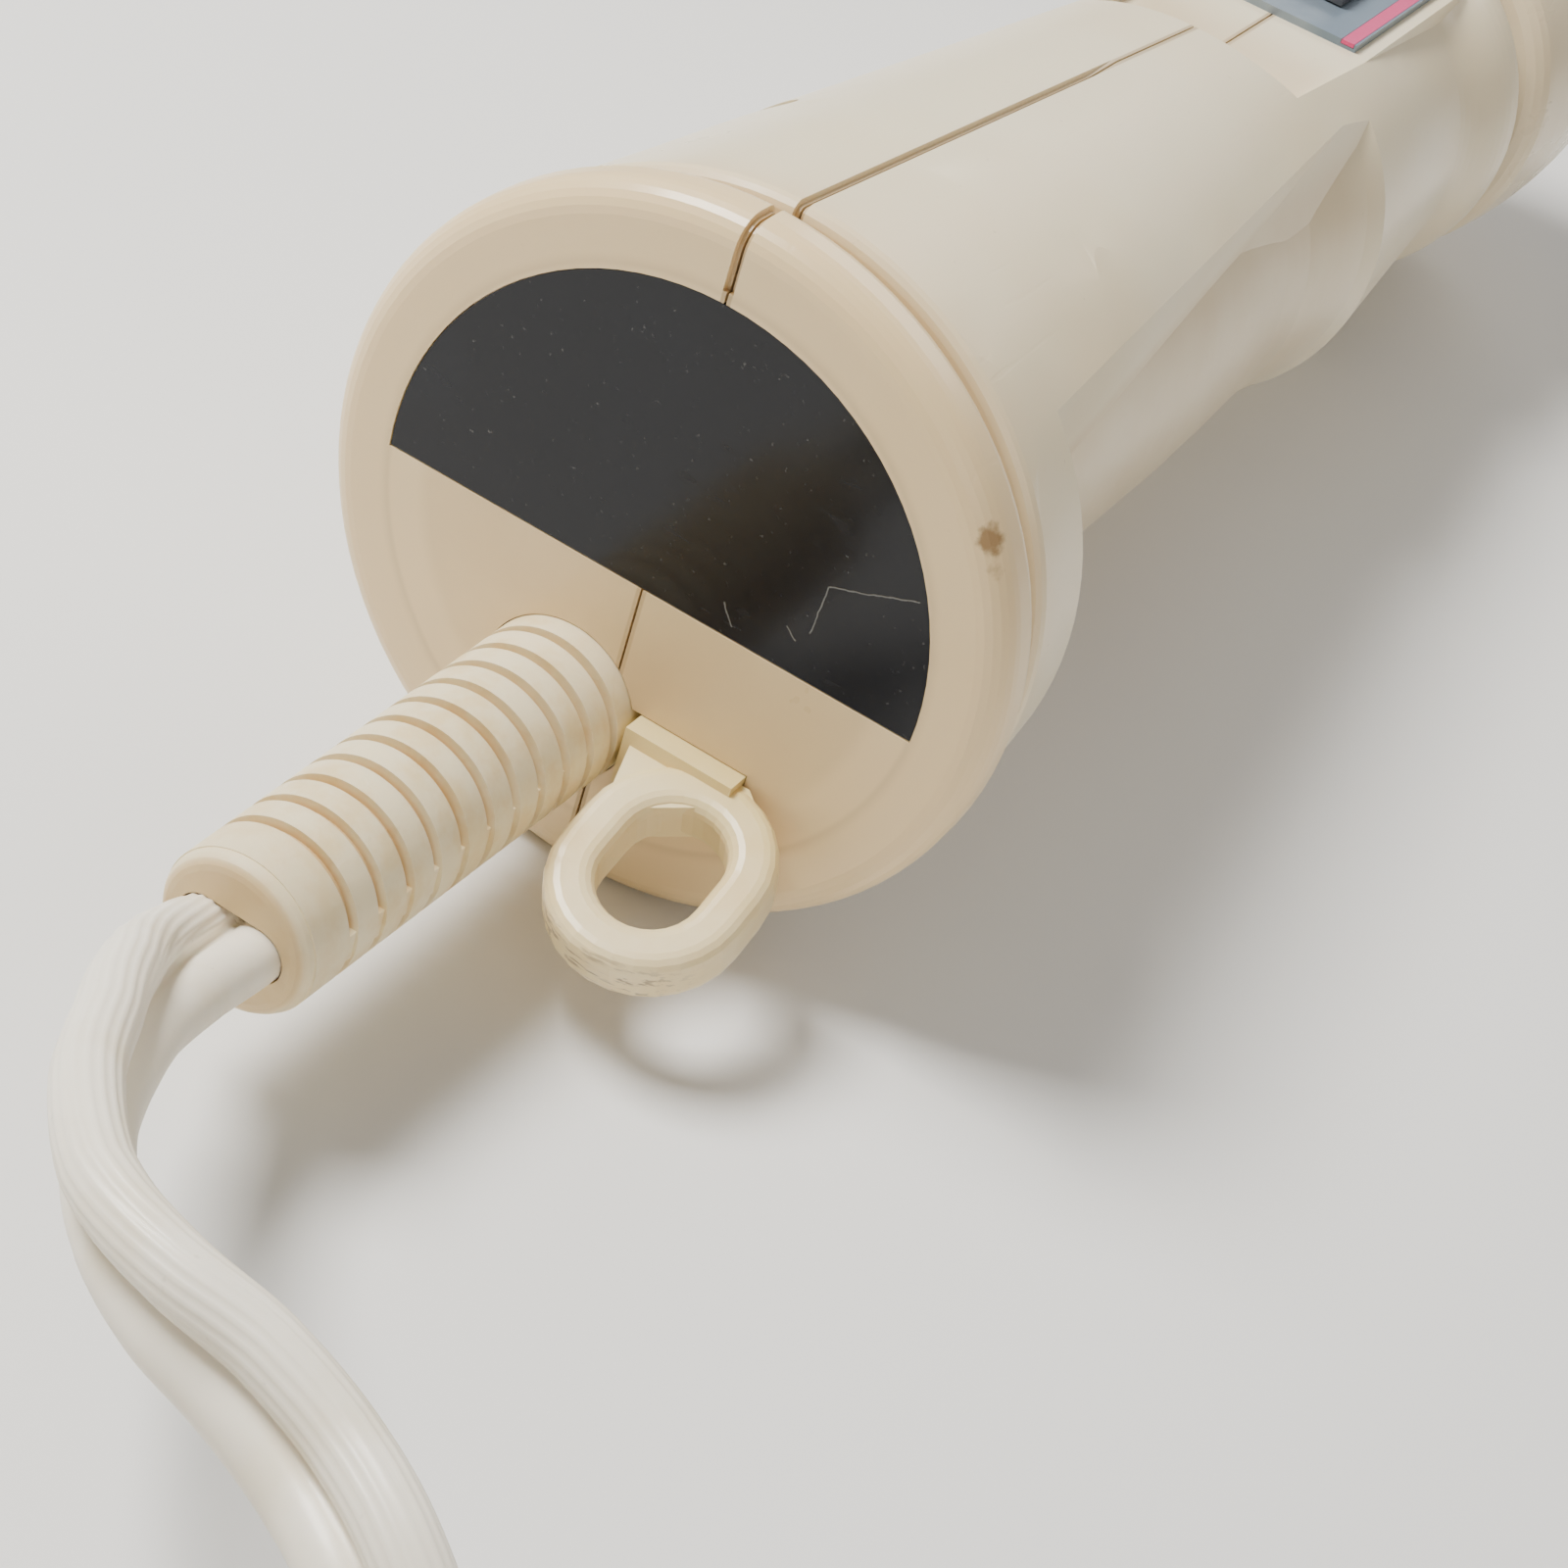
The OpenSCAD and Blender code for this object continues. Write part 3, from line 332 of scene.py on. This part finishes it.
def make_plug():
    """Moulded plug: a ringed strain relief that swells into a body with finger ridges."""
    low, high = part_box("plug_body")
    mid_x, mid_z = (low[0] + high[0]) / 2, (low[2] + high[2]) / 2
    half_w, half_h = (high[0] - low[0]) / 2, (high[2] - low[2]) / 2
    # sections from the cord to the front face: distance, half width and half height
    sections = [(0.0, 0.0050, 0.0029)]
    for i in range(RELIEF_RINGS):
        start = 0.0006 + RING_PITCH * i
        swell = 0.00035 * i
        ring = (0.0056 + swell, 0.0034 + swell)
        neck = (0.0049 + swell, 0.0027 + swell)
        sections += [
            (start, *ring), (start + 0.0011, *ring), (start + 0.0012, *neck), (start + 0.0017, *neck),
        ]
    grow = 12
    for i in range(grow + 1):
        t = i / grow
        ease = smoothstep(t)
        ridge = 0.0004 * math.sin(math.tau * 3 * t) * (1 if 0.2 < t < 0.9 else 0)
        sections.append((
            0.0122 + 0.0076 * t, 0.0078 + (half_w - 0.0083) * ease + ridge,
            0.0055 + (half_h - 0.0055) * ease - abs(ridge),
        ))
    length = high[1] - low[1]
    sections += [
        (length - 0.0030, half_w, half_h), (length - 0.0012, half_w - 0.0003, half_h - 0.0003),
        (length - 0.0003, half_w - 0.0010, half_h - 0.0010), (length, half_w - 0.0020, half_h - 0.0020),
    ]
    points = []
    for along, w, h in sections:
        power = 2.2 + 2.3 * smoothstep((along - 0.010) / 0.012)
        points += [
            Vector((mid_x + x, low[1] + along, mid_z + z))
            for x, z in superellipse(min(w, half_w), min(h, half_h), power)
        ]
    faces = [tuple(reversed(f)) for f in tube_faces(len(sections), PLUG_SIDES)]
    plug = new_piece("plug_moulding", points, faces)
    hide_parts("plug_body")
    return plug


cord, cord_path = make_cord()
ties = make_tie("right_tie", 1, 0.006) + make_tie("left_tie", -1, 0.014)
plug = make_plug()

# ---- shader helper --------------------------------------------------------


class Shader:
    """One material, with short calls for the nodes it is made of."""

    def __init__(self, name, **fixed):
        self.material = bpy.data.materials.new(name)
        self.material.use_nodes = True
        self.tree = self.material.node_tree
        self.surface = self.tree.nodes["Principled BSDF"]
        for key, value in fixed.items():
            self.surface.inputs[key.replace("_", " ")].default_value = value
        coordinates = self.tree.nodes.new("ShaderNodeTexCoord")
        self.place = coordinates.outputs["Object"]

    def node(self, kind, *values, **settings):
        node = self.tree.nodes.new(kind)
        for key, value in settings.items():
            setattr(node, key, value)
        for socket, value in zip(node.inputs, values):
            self.feed(socket, value)
        return node

    def feed(self, socket, value):
        if value is None:
            return
        if isinstance(value, bpy.types.NodeSocket):
            self.tree.links.new(value, socket)
        else:
            socket.default_value = value

    def math(self, operation, a, b=None, c=None):
        return self.node("ShaderNodeMath", a, b, c, operation=operation).outputs[0]

    def scaled(self, x=1.0, y=1.0, z=1.0):
        node = self.node("ShaderNodeMapping", self.place)
        node.inputs["Scale"].default_value = (x, y, z)
        return node.outputs[0]

    def noise(self, scale, detail=4.0, rough=0.55, where=None):
        node = self.tree.nodes.new("ShaderNodeTexNoise")
        self.feed(node.inputs["Vector"], where or self.place)
        node.inputs["Scale"].default_value = scale
        node.inputs["Detail"].default_value = detail
        node.inputs["Roughness"].default_value = rough
        return node.outputs[0]

    def band(self, value, low, high):
        """0 below low, 1 above high, smooth between, or the other way round if low > high."""
        node = self.tree.nodes.new("ShaderNodeMapRange")
        node.interpolation_type = "SMOOTHSTEP"
        self.feed(node.inputs["Value"], value)
        node.inputs["From Min"].default_value = min(low, high)
        node.inputs["From Max"].default_value = max(low, high)
        node.inputs["To Min"].default_value = 0.0 if low < high else 1.0
        node.inputs["To Max"].default_value = 1.0 if low < high else 0.0
        return node.outputs[0]

    def spread(self, value, low, high):
        """Maps 0..1 to low..high."""
        return self.math("MULTIPLY_ADD", value, high - low, low)

    def mix(self, amount, a, b):
        node = self.tree.nodes.new("ShaderNodeMix")
        node.data_type = "RGBA"
        self.feed(node.inputs[0], amount)
        self.feed(node.inputs[6], a)
        self.feed(node.inputs[7], b)
        return node.outputs[2]

    def axes(self):
        node = self.node("ShaderNodeSeparateXYZ", self.place)
        return node.outputs

    def radius(self, x, z, mid_x, mid_z):
        """Distance from a line along Y."""
        side = self.math("SUBTRACT", x, mid_x) if mid_x else x
        up = self.math("SUBTRACT", z, mid_z)
        squares = self.math("ADD", self.math("MULTIPLY", side, side), self.math("MULTIPLY", up, up))
        return self.math("POWER", squares, 0.5)

    def near(self, point, radius, soft, wobble, scale):
        """1 within about radius of a point, with a ragged edge that fades over soft of the radius."""
        node = self.node("ShaderNodeVectorMath", self.place, tuple(point), operation="DISTANCE")
        distance = self.math("MULTIPLY_ADD", self.noise(scale), wobble, node.outputs["Value"])
        radius += wobble / 2
        return self.band(distance, radius, radius * (1 - soft))

    def inside(self, *masks):
        """The product of masks."""
        out = masks[0]
        for mask in masks[1:]:
            out = self.math("MULTIPLY", out, mask)
        return out

    def colour(self, value):
        self.feed(self.surface.inputs["Base Color"], value)

    def roughness(self, value):
        self.feed(self.surface.inputs["Roughness"], value)

    def bump(self, height, distance, strength=1.0):
        node = self.tree.nodes.new("ShaderNodeBump")
        node.inputs["Strength"].default_value = strength
        node.inputs["Distance"].default_value = distance
        self.feed(node.inputs["Height"], height)
        self.feed(self.surface.inputs["Normal"], node.outputs[0])


def rgb(red, green, blue):
    """A colour from sRGB values of 0 to 255, as linear light."""
    linear = [
        ((c / 255 + 0.055) / 1.055) ** 2.4 if c > 10 else c / (255 * 12.92) for c in (red, green, blue)
    ]
    return (*linear, 1.0)


# ---- materials ------------------------------------------------------------


def aged_plastic(name, fresh, aged, dirt):
    """Cream moulding with patchy yellowing, fine hairlines and an uneven gloss."""
    s = Shader(name, Subsurface_Weight=0.06, Subsurface_Scale=0.004, Coat_Weight=0.12, Coat_Roughness=0.12)
    s.surface.inputs["Subsurface Radius"].default_value = (1.0, 0.6, 0.3)
    broad = s.noise(22, 3)
    colour = s.mix(s.band(broad, 0.35, 0.72), fresh, aged)
    specks = s.band(s.noise(1400, 2), 0.72, 0.8)
    colour = s.mix(s.math("MULTIPLY", specks, 0.25), colour, dirt)
    smears = s.noise(60, 5, 0.6, s.scaled(1, 0.35, 1))
    s.roughness(s.spread(smears, 0.2, 0.42))
    peel = s.noise(420, 2)
    hairs = s.band(s.noise(900, 1, 0.5, s.scaled(1, 0.05, 1)), 0.66, 0.74)
    s.bump(s.math("MULTIPLY_ADD", hairs, -0.35, peel), 0.00006, 0.35)
    return s, colour


def housing_material(name):
    """The housing: warmer on the rear face, painted shade in the groove and the finger hollow, one brown
    scuff on the rim.
    """
    s, colour = aged_plastic(name, rgb(238, 226, 197), rgb(233, 216, 180), rgb(150, 120, 80))
    x, y, z = s.axes()
    radius = s.radius(x, z, 0, AXIS_Z)
    rear = s.band(y, REAR_Y + 0.014, REAR_Y + 0.001)
    colour = s.mix(s.math("MULTIPLY", rear, 0.85), colour, rgb(234, 205, 154))
    # painted shade: the groove behind the rear rim is darkened in the colour, where shade falls in the
    # crevice
    groove_from = s.band(y, REAR_Y + 0.0046, REAR_Y + 0.0054)
    groove_to = s.band(y, REAR_Y + 0.0088, REAR_Y + 0.0080)
    deep_shade = s.band(radius, 0.0284, 0.0276)
    groove = s.inside(groove_from, groove_to, deep_shade)
    colour = s.mix(s.math("MULTIPLY", groove, 0.35), colour, rgb(165, 132, 84))
    face_radius = s.band(radius, 0.0250, 0.0237)
    near_plate = s.inside(face_radius, rear, s.band(radius, 0.0236, 0.0242))
    colour = s.mix(s.math("MULTIPLY", near_plate, 0.3), colour, rgb(160, 130, 90))
    scuff = s.near(on_wand(0.0246, 0.0004, 0.0168), 0.0016, 0.3, 0.0016, 1100)
    colour = s.mix(s.math("MULTIPLY", scuff, 0.85), colour, rgb(140, 104, 58))
    edge_wear = s.near(on_wand(0.0258, 0.0004, 0.0146), 0.0010, 0.4, 0.0016, 1300)
    colour = s.mix(s.math("MULTIPLY", edge_wear, 0.5), colour, rgb(160, 126, 78))
    # dirt in the sunk line between the halves, and painted shade in the finger hollow, patchy with noise
    over_top = s.math("MAXIMUM", s.band(z, AXIS_Z + 0.010, AXIS_Z + 0.012), rear)
    seam = s.math("MULTIPLY", s.band(s.math("ABSOLUTE", x), 0.00050, 0.00036), over_top)
    colour = s.mix(s.math("MULTIPLY", seam, 0.6), colour, rgb(158, 128, 84))
    hollow = s.inside(s.band(radius, 0.0215, 0.0198), s.band(y, REAR_Y + 0.110, REAR_Y + 0.100))
    # painted shade: the finger hollow is darkened in the colour where it faces away from the light
    grime_and_painted_shade = s.math("MULTIPLY", hollow, s.spread(s.noise(130, 4), 0.2, 0.6))
    colour = s.mix(grime_and_painted_shade, colour, rgb(206, 178, 134))
    s.colour(colour)
    return s.material


def head_material():
    """The head's plastic, a little more yellowed than the housing."""
    s, colour = aged_plastic("head_plastic", rgb(236, 221, 190), rgb(228, 208, 170), rgb(150, 120, 80))
    s.colour(colour)
    return s.material


def boot_material():
    """Soft cream vinyl, a little waxy, with painted shade down in the grooves and mottled on the ribs."""
    s = Shader("boot_vinyl", Subsurface_Weight=0.12, Subsurface_Scale=0.004)
    s.surface.inputs["Subsurface Radius"].default_value = (1.0, 0.65, 0.35)
    x, y, z = s.axes()
    boot_low, boot_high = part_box("cord_boot")
    mid_x, mid_z = (boot_low[0] + boot_high[0]) / 2, (boot_low[2] + boot_high[2]) / 2
    deep_shade = s.band(s.radius(x, z, mid_x, mid_z), 0.0063, 0.0057)
    mottle = s.band(s.noise(260, 4, 0.6), 0.42, 0.66)
    colour = s.mix(mottle, rgb(243, 228, 190), rgb(236, 214, 166))
    tip = s.band(s.math("MULTIPLY_ADD", s.noise(160), 0.006, y), REAR_Y - 0.030, REAR_Y - 0.038)
    colour = s.mix(s.math("MULTIPLY", tip, 0.5), colour, rgb(230, 214, 176))
    # painted shade: a darker warm colour down in the grooves between the ribs
    colour = s.mix(s.math("MULTIPLY", deep_shade, 0.6), colour, rgb(196, 158, 98))
    s.colour(colour)
    s.roughness(s.spread(s.noise(300, 3), 0.36, 0.6))
    s.bump(s.math("ADD", s.noise(1500, 3), s.math("MULTIPLY", s.noise(500, 2), 0.8)), 0.00009, 0.5)
    return s.material


def loop_material():
    """Yellowed plastic: yellower beside the block, with grey scratches on the far rim."""
    s = Shader("loop_plastic", Subsurface_Weight=0.1, Subsurface_Scale=0.003, Coat_Weight=0.1)
    s.surface.inputs["Subsurface Radius"].default_value = (1.0, 0.65, 0.3)
    low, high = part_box("hang_loop")
    x, y, z = s.axes()
    root = s.band(s.math("MULTIPLY_ADD", s.noise(200), 0.003, y), REAR_Y - 0.006, REAR_Y + 0.001)
    colour = s.mix(s.band(s.noise(120), 0.35, 0.7), rgb(236, 218, 172), rgb(228, 204, 150))
    colour = s.mix(s.math("MULTIPLY", root, 0.45), colour, rgb(226, 200, 116))
    far = s.band(y, low[1] + 0.0060, low[1] + 0.0005)
    under = s.band(z, high[2] - 0.0078, high[2] - 0.0100)
    streaks = s.band(s.noise(1100, 3, 0.6, s.scaled(0.16, 1, 1.6)), 0.52, 0.62)
    grime_and_painted_shade = s.inside(far, under, streaks)
    colour = s.mix(s.math("MULTIPLY", grime_and_painted_shade, 0.75), colour, rgb(120, 96, 78))
    s.colour(colour)
    s.roughness(s.spread(s.noise(350, 4), 0.24, 0.46))
    s.bump(s.math("SUBTRACT", s.noise(700, 3), s.math("MULTIPLY", grime_and_painted_shade, 0.6)), 0.00008, 0.4)
    return s.material


def plate_material():
    """Bare blue-black foil plate with dust, fine wipes and two bent scratches."""
    s = Shader("rating_foil", Coat_Weight=0.1, Coat_Roughness=0.1)
    s.surface.inputs["Specular IOR Level"].default_value = 0.3
    x, y, z = s.axes()
    dust = s.band(s.noise(2400, 2, 0.5), 0.70, 0.78)
    haze = s.band(s.noise(45, 3), 0.45, 0.75)
    colour = s.mix(haze, rgb(11, 13, 20), rgb(18, 22, 31))
    # places of the scratches on the plate, in the wand's frame
    marks = [
        (on_wand(0.0139, 0.0001, 0.0023), on_wand(0.0142, 0.0001, 0.0067)),
        (on_wand(0.0142, 0.0001, 0.0067), on_wand(0.0211, 0.0001, 0.0094)),
        (on_wand(0.0120, 0.0001, 0.0019), on_wand(0.0130, 0.0001, 0.0011)),
        (on_wand(0.0067, 0.0001, 0.0010), on_wand(0.0078, 0.0001, -0.0007)),
    ]
    lines = 0.0
    for start, end in marks:
        lines = s.math("MAXIMUM", lines, scratch(s, x, z, start, end, 0.00009))
    wipes = s.band(s.noise(700, 2, 0.6, s.scaled(0.25, 1, 1.0)), 0.62, 0.72)
    colour = s.mix(s.math("MULTIPLY", dust, 0.35), colour, rgb(120, 120, 118))
    colour = s.mix(s.math("MULTIPLY", lines, 0.6), colour, rgb(130, 130, 126))
    s.colour(colour)
    s.roughness(s.math("ADD", s.spread(haze, 0.16, 0.28), s.math("MULTIPLY", wipes, 0.12)))
    s.bump(s.math("SUBTRACT", s.math("MULTIPLY", s.noise(90, 2), 0.8), lines), 0.00005, 0.5)
    return s.material


def scratch(s, x, z, start, end, width):
    """1 on the straight line from start to end, seen along Y."""
    along = (end - start).xz
    length = along.length
    along = along / length
    dx, dz = s.math("SUBTRACT", x, start.x), s.math("SUBTRACT", z, start.z)
    run = s.math("ADD", s.math("MULTIPLY", dx, along.x), s.math("MULTIPLY", dz, along.y))
    off = s.math("SUBTRACT", s.math("MULTIPLY", dx, along.y), s.math("MULTIPLY", dz, along.x))
    off = s.math("ABSOLUTE", s.math("MULTIPLY_ADD", s.noise(500), 0.0006, s.math("SUBTRACT", off, 0.0003)))
    inside = s.math("MULTIPLY", s.band(run, -0.0001, 0.0001), s.band(run, length + 0.0001, length))
    return s.math("MULTIPLY", inside, s.band(off, width, width * 0.4))


def cord_material():
    """White vinyl, faintly greyed where it has been handled."""
    s = Shader("cord_vinyl", Subsurface_Weight=0.1, Subsurface_Scale=0.003, Coat_Weight=0.08)
    s.surface.inputs["Subsurface Radius"].default_value = (1.0, 0.8, 0.6)
    worn = s.band(s.noise(90, 4, 0.6), 0.45, 0.75)
    colour = s.mix(worn, rgb(245, 238, 222), rgb(236, 226, 202))
    spots = s.band(s.noise(800, 3), 0.70, 0.78)
    colour = s.mix(s.math("MULTIPLY", spots, 0.2), colour, rgb(150, 140, 122))
    s.colour(colour)
    s.roughness(s.spread(s.noise(240, 3), 0.3, 0.48))
    s.bump(s.noise(1100, 2), 0.00004, 0.4)
    return s.material


def plain_plastic(name, base, tint, low=0.35, high=0.55, grain=900):
    """Moulded plastic with a fine grain and a slow change of shade."""
    s = Shader(name)
    s.colour(s.mix(s.noise(70, 4), base, tint))
    s.roughness(s.spread(s.noise(200, 3), low, high))
    s.bump(s.noise(grain, 3), 0.00005, 0.5)
    return s.material


def brushed_metal(name, base, tint, low=0.2, high=0.4):
    """Metal with turning marks across the wand and light tarnish."""
    s = Shader(name, Metallic=1.0)
    lines = s.noise(900, 3, 0.6, s.scaled(0.12, 1, 0.12))
    s.colour(s.mix(s.band(s.noise(120, 5), 0.4, 0.75), base, tint))
    s.roughness(s.spread(lines, low, high))
    s.bump(lines, 0.00003, 0.5)
    return s.material


def rubber_material():
    """Dull dark rubber."""
    s = Shader("neck_rubber")
    s.colour(s.mix(s.noise(150, 4), rgb(34, 34, 36), rgb(52, 50, 48)))
    s.roughness(s.spread(s.noise(260, 3), 0.5, 0.75))
    s.bump(s.noise(1200, 3), 0.00008, 0.6)
    return s.material


def switch_plate_material():
    """Grey-blue lacquer over metal, rubbed brighter beside the slot."""
    s = Shader("switch_lacquer", Metallic=0.35)
    x, y, z = s.axes()
    rubbed = s.math("MULTIPLY", s.band(s.math("ABSOLUTE", x), 0.006, 0.003), s.noise(400, 4))
    colour = s.mix(s.noise(60, 3), rgb(104, 122, 140), rgb(122, 138, 152))
    s.colour(s.mix(s.math("MULTIPLY", rubbed, 0.5), colour, rgb(170, 178, 184)))
    s.roughness(s.spread(s.noise(500, 3, 0.6, s.scaled(1, 0.1, 1)), 0.28, 0.42))
    s.bump(s.noise(1300, 2), 0.00003, 0.4)
    return s.material


STEEL = brushed_metal("steel", (0.62, 0.62, 0.61, 1), (0.48, 0.47, 0.45, 1))
BRASS = brushed_metal("brass", (0.80, 0.62, 0.32, 1), (0.62, 0.46, 0.24, 1))
COPPER = brushed_metal("copper", (0.80, 0.42, 0.24, 1), (0.62, 0.30, 0.17, 1))
NICKEL = brushed_metal("nickel", (0.70, 0.66, 0.58, 1), (0.56, 0.52, 0.44, 1), 0.16, 0.3)
FERRITE = plain_plastic("ferrite", rgb(48, 48, 50), rgb(62, 60, 58), 0.6, 0.8)
PHENOLIC = plain_plastic("phenolic", rgb(72, 44, 30), rgb(54, 34, 24), 0.4, 0.6)
NATURAL = plain_plastic("natural_nylon", rgb(214, 210, 198), rgb(198, 192, 178))
BOARD = plain_plastic("board_laminate", rgb(74, 106, 62), rgb(92, 120, 70), 0.3, 0.5)
FILM = plain_plastic("capacitor_film", rgb(42, 74, 138), rgb(54, 88, 150), 0.2, 0.35)
WIRE = plain_plastic("wire_sleeve", rgb(160, 34, 30), rgb(136, 28, 26), 0.3, 0.5)
BUTTON = plain_plastic("button_grey", rgb(62, 64, 68), rgb(78, 80, 84), 0.4, 0.6)
STRIPE = plain_plastic("stripe_pink", rgb(214, 62, 122), rgb(198, 50, 108), 0.25, 0.4)
PLUG = plain_plastic("plug_vinyl", rgb(240, 237, 226), rgb(228, 222, 206), 0.35, 0.55)
TIE = plain_plastic("tie_sleeve", rgb(236, 236, 232), rgb(222, 222, 216), 0.4, 0.6)
RUBBER = rubber_material()

LOOKS = {
    "left_shell": housing_material("housing_left"),
    "right_shell": housing_material("housing_right"),
    "head_base": head_material(),
    "rating_plate": plate_material(),
    "switch_plate": switch_plate_material(),
    "plate_stripes": STRIPE,
    "thumb_button": BUTTON,
    "cord_boot": boot_material(),
    "hang_loop": loop_material(),
    "cord_inner": cord_material(),
}
LOOKS["head_cap"] = LOOKS["head_base"]
for look, nodes in [
    (STEEL, ["housing_screws", "clamp_screws", "motor_can", "rotor_core", "motor_shaft", "flex_spring",
             "head_shaft", "weight_screw"]),
    (BRASS, ["slide_contact", "switch_terminals", "motor_bushes", "head_bushes", "eccentric_weight"]),
    (COPPER, ["rotor_winding", "commutator"]),
    (NICKEL, ["plug_blades"]),
    (FERRITE, ["motor_magnets", "brushes"]),
    (PHENOLIC, ["switch_body", "motor_end_cap", "diodes"]),
    (NATURAL, ["slide_carrier", "cord_clamp", "bearing_frame"]),
    (BOARD, ["rectifier_board"]),
    (FILM, ["capacitor"]),
    (WIRE, ["lead_wires"]),
    (RUBBER, ["rear_mount", "front_mount", "neck_gasket"]),
]:
    for node in nodes:
        LOOKS[node] = look


def dress(piece, material):
    """Gives the piece its one material."""
    piece.data.materials.clear()
    piece.data.materials.append(material)


for node_name, look in LOOKS.items():
    dress(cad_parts[node_name], look)
dress(cord, LOOKS["cord_inner"])
dress(plug, PLUG)
for piece in ties:
    dress(piece, TIE)

# ---- floor, lights and sky ------------------------------------------------

LIGHTS_AIM_AT = Vector((0, -0.05, 0.03))


def make_floor():
    """A plain pale floor at z = 0."""
    reach = 3.0
    floor = bpy.data.objects.new("floor", bpy.data.meshes.new("floor"))
    corners = [(-reach, -reach, 0), (reach, -reach, 0), (reach, reach, 0), (-reach, reach, 0)]
    floor.data.from_pydata(corners, [], [(0, 1, 2, 3)])
    bpy.context.scene.collection.objects.link(floor)
    s = Shader("floor_paper")
    s.colour(s.mix(s.noise(4, 2), (0.80, 0.80, 0.79, 1), (0.83, 0.83, 0.82, 1)))
    s.roughness(s.spread(s.noise(60, 2), 0.75, 0.9))
    dress(floor, s.material)


def make_light(name, at, size, watts, tint):
    """A soft rectangular light, aimed at the wand."""
    data = bpy.data.lights.new(name, "AREA")
    data.shape = "RECTANGLE"
    data.size, data.size_y = size
    data.energy = watts
    data.color = tint
    light = bpy.data.objects.new(name, data)
    at = Vector(at)
    aim = look_along(LIGHTS_AIM_AT - at, Vector((0, 0.1, 1)))
    light.matrix_world = Matrix.Translation(at) @ aim.to_4x4()
    bpy.context.scene.collection.objects.link(light)


def make_sky():
    """An even, pale surround."""
    world = bpy.data.worlds.new("studio")
    world.use_nodes = True
    background = world.node_tree.nodes["Background"]
    background.inputs["Color"].default_value = (1.0, 0.985, 0.96, 1)
    background.inputs["Strength"].default_value = 0.3
    bpy.context.scene.world = world


make_floor()
make_sky()
make_light("key", (-0.36, -0.16, 0.62), (0.32, 0.24), 10.0, (1.0, 0.975, 0.93))
make_light("fill", (0.70, -0.60, 0.45), (0.5, 0.4), 1.4, (1.0, 0.90, 0.78))
make_light("rim", (0.1, 0.85, 0.65), (0.8, 0.25), 3.0, (1.0, 0.98, 0.95))
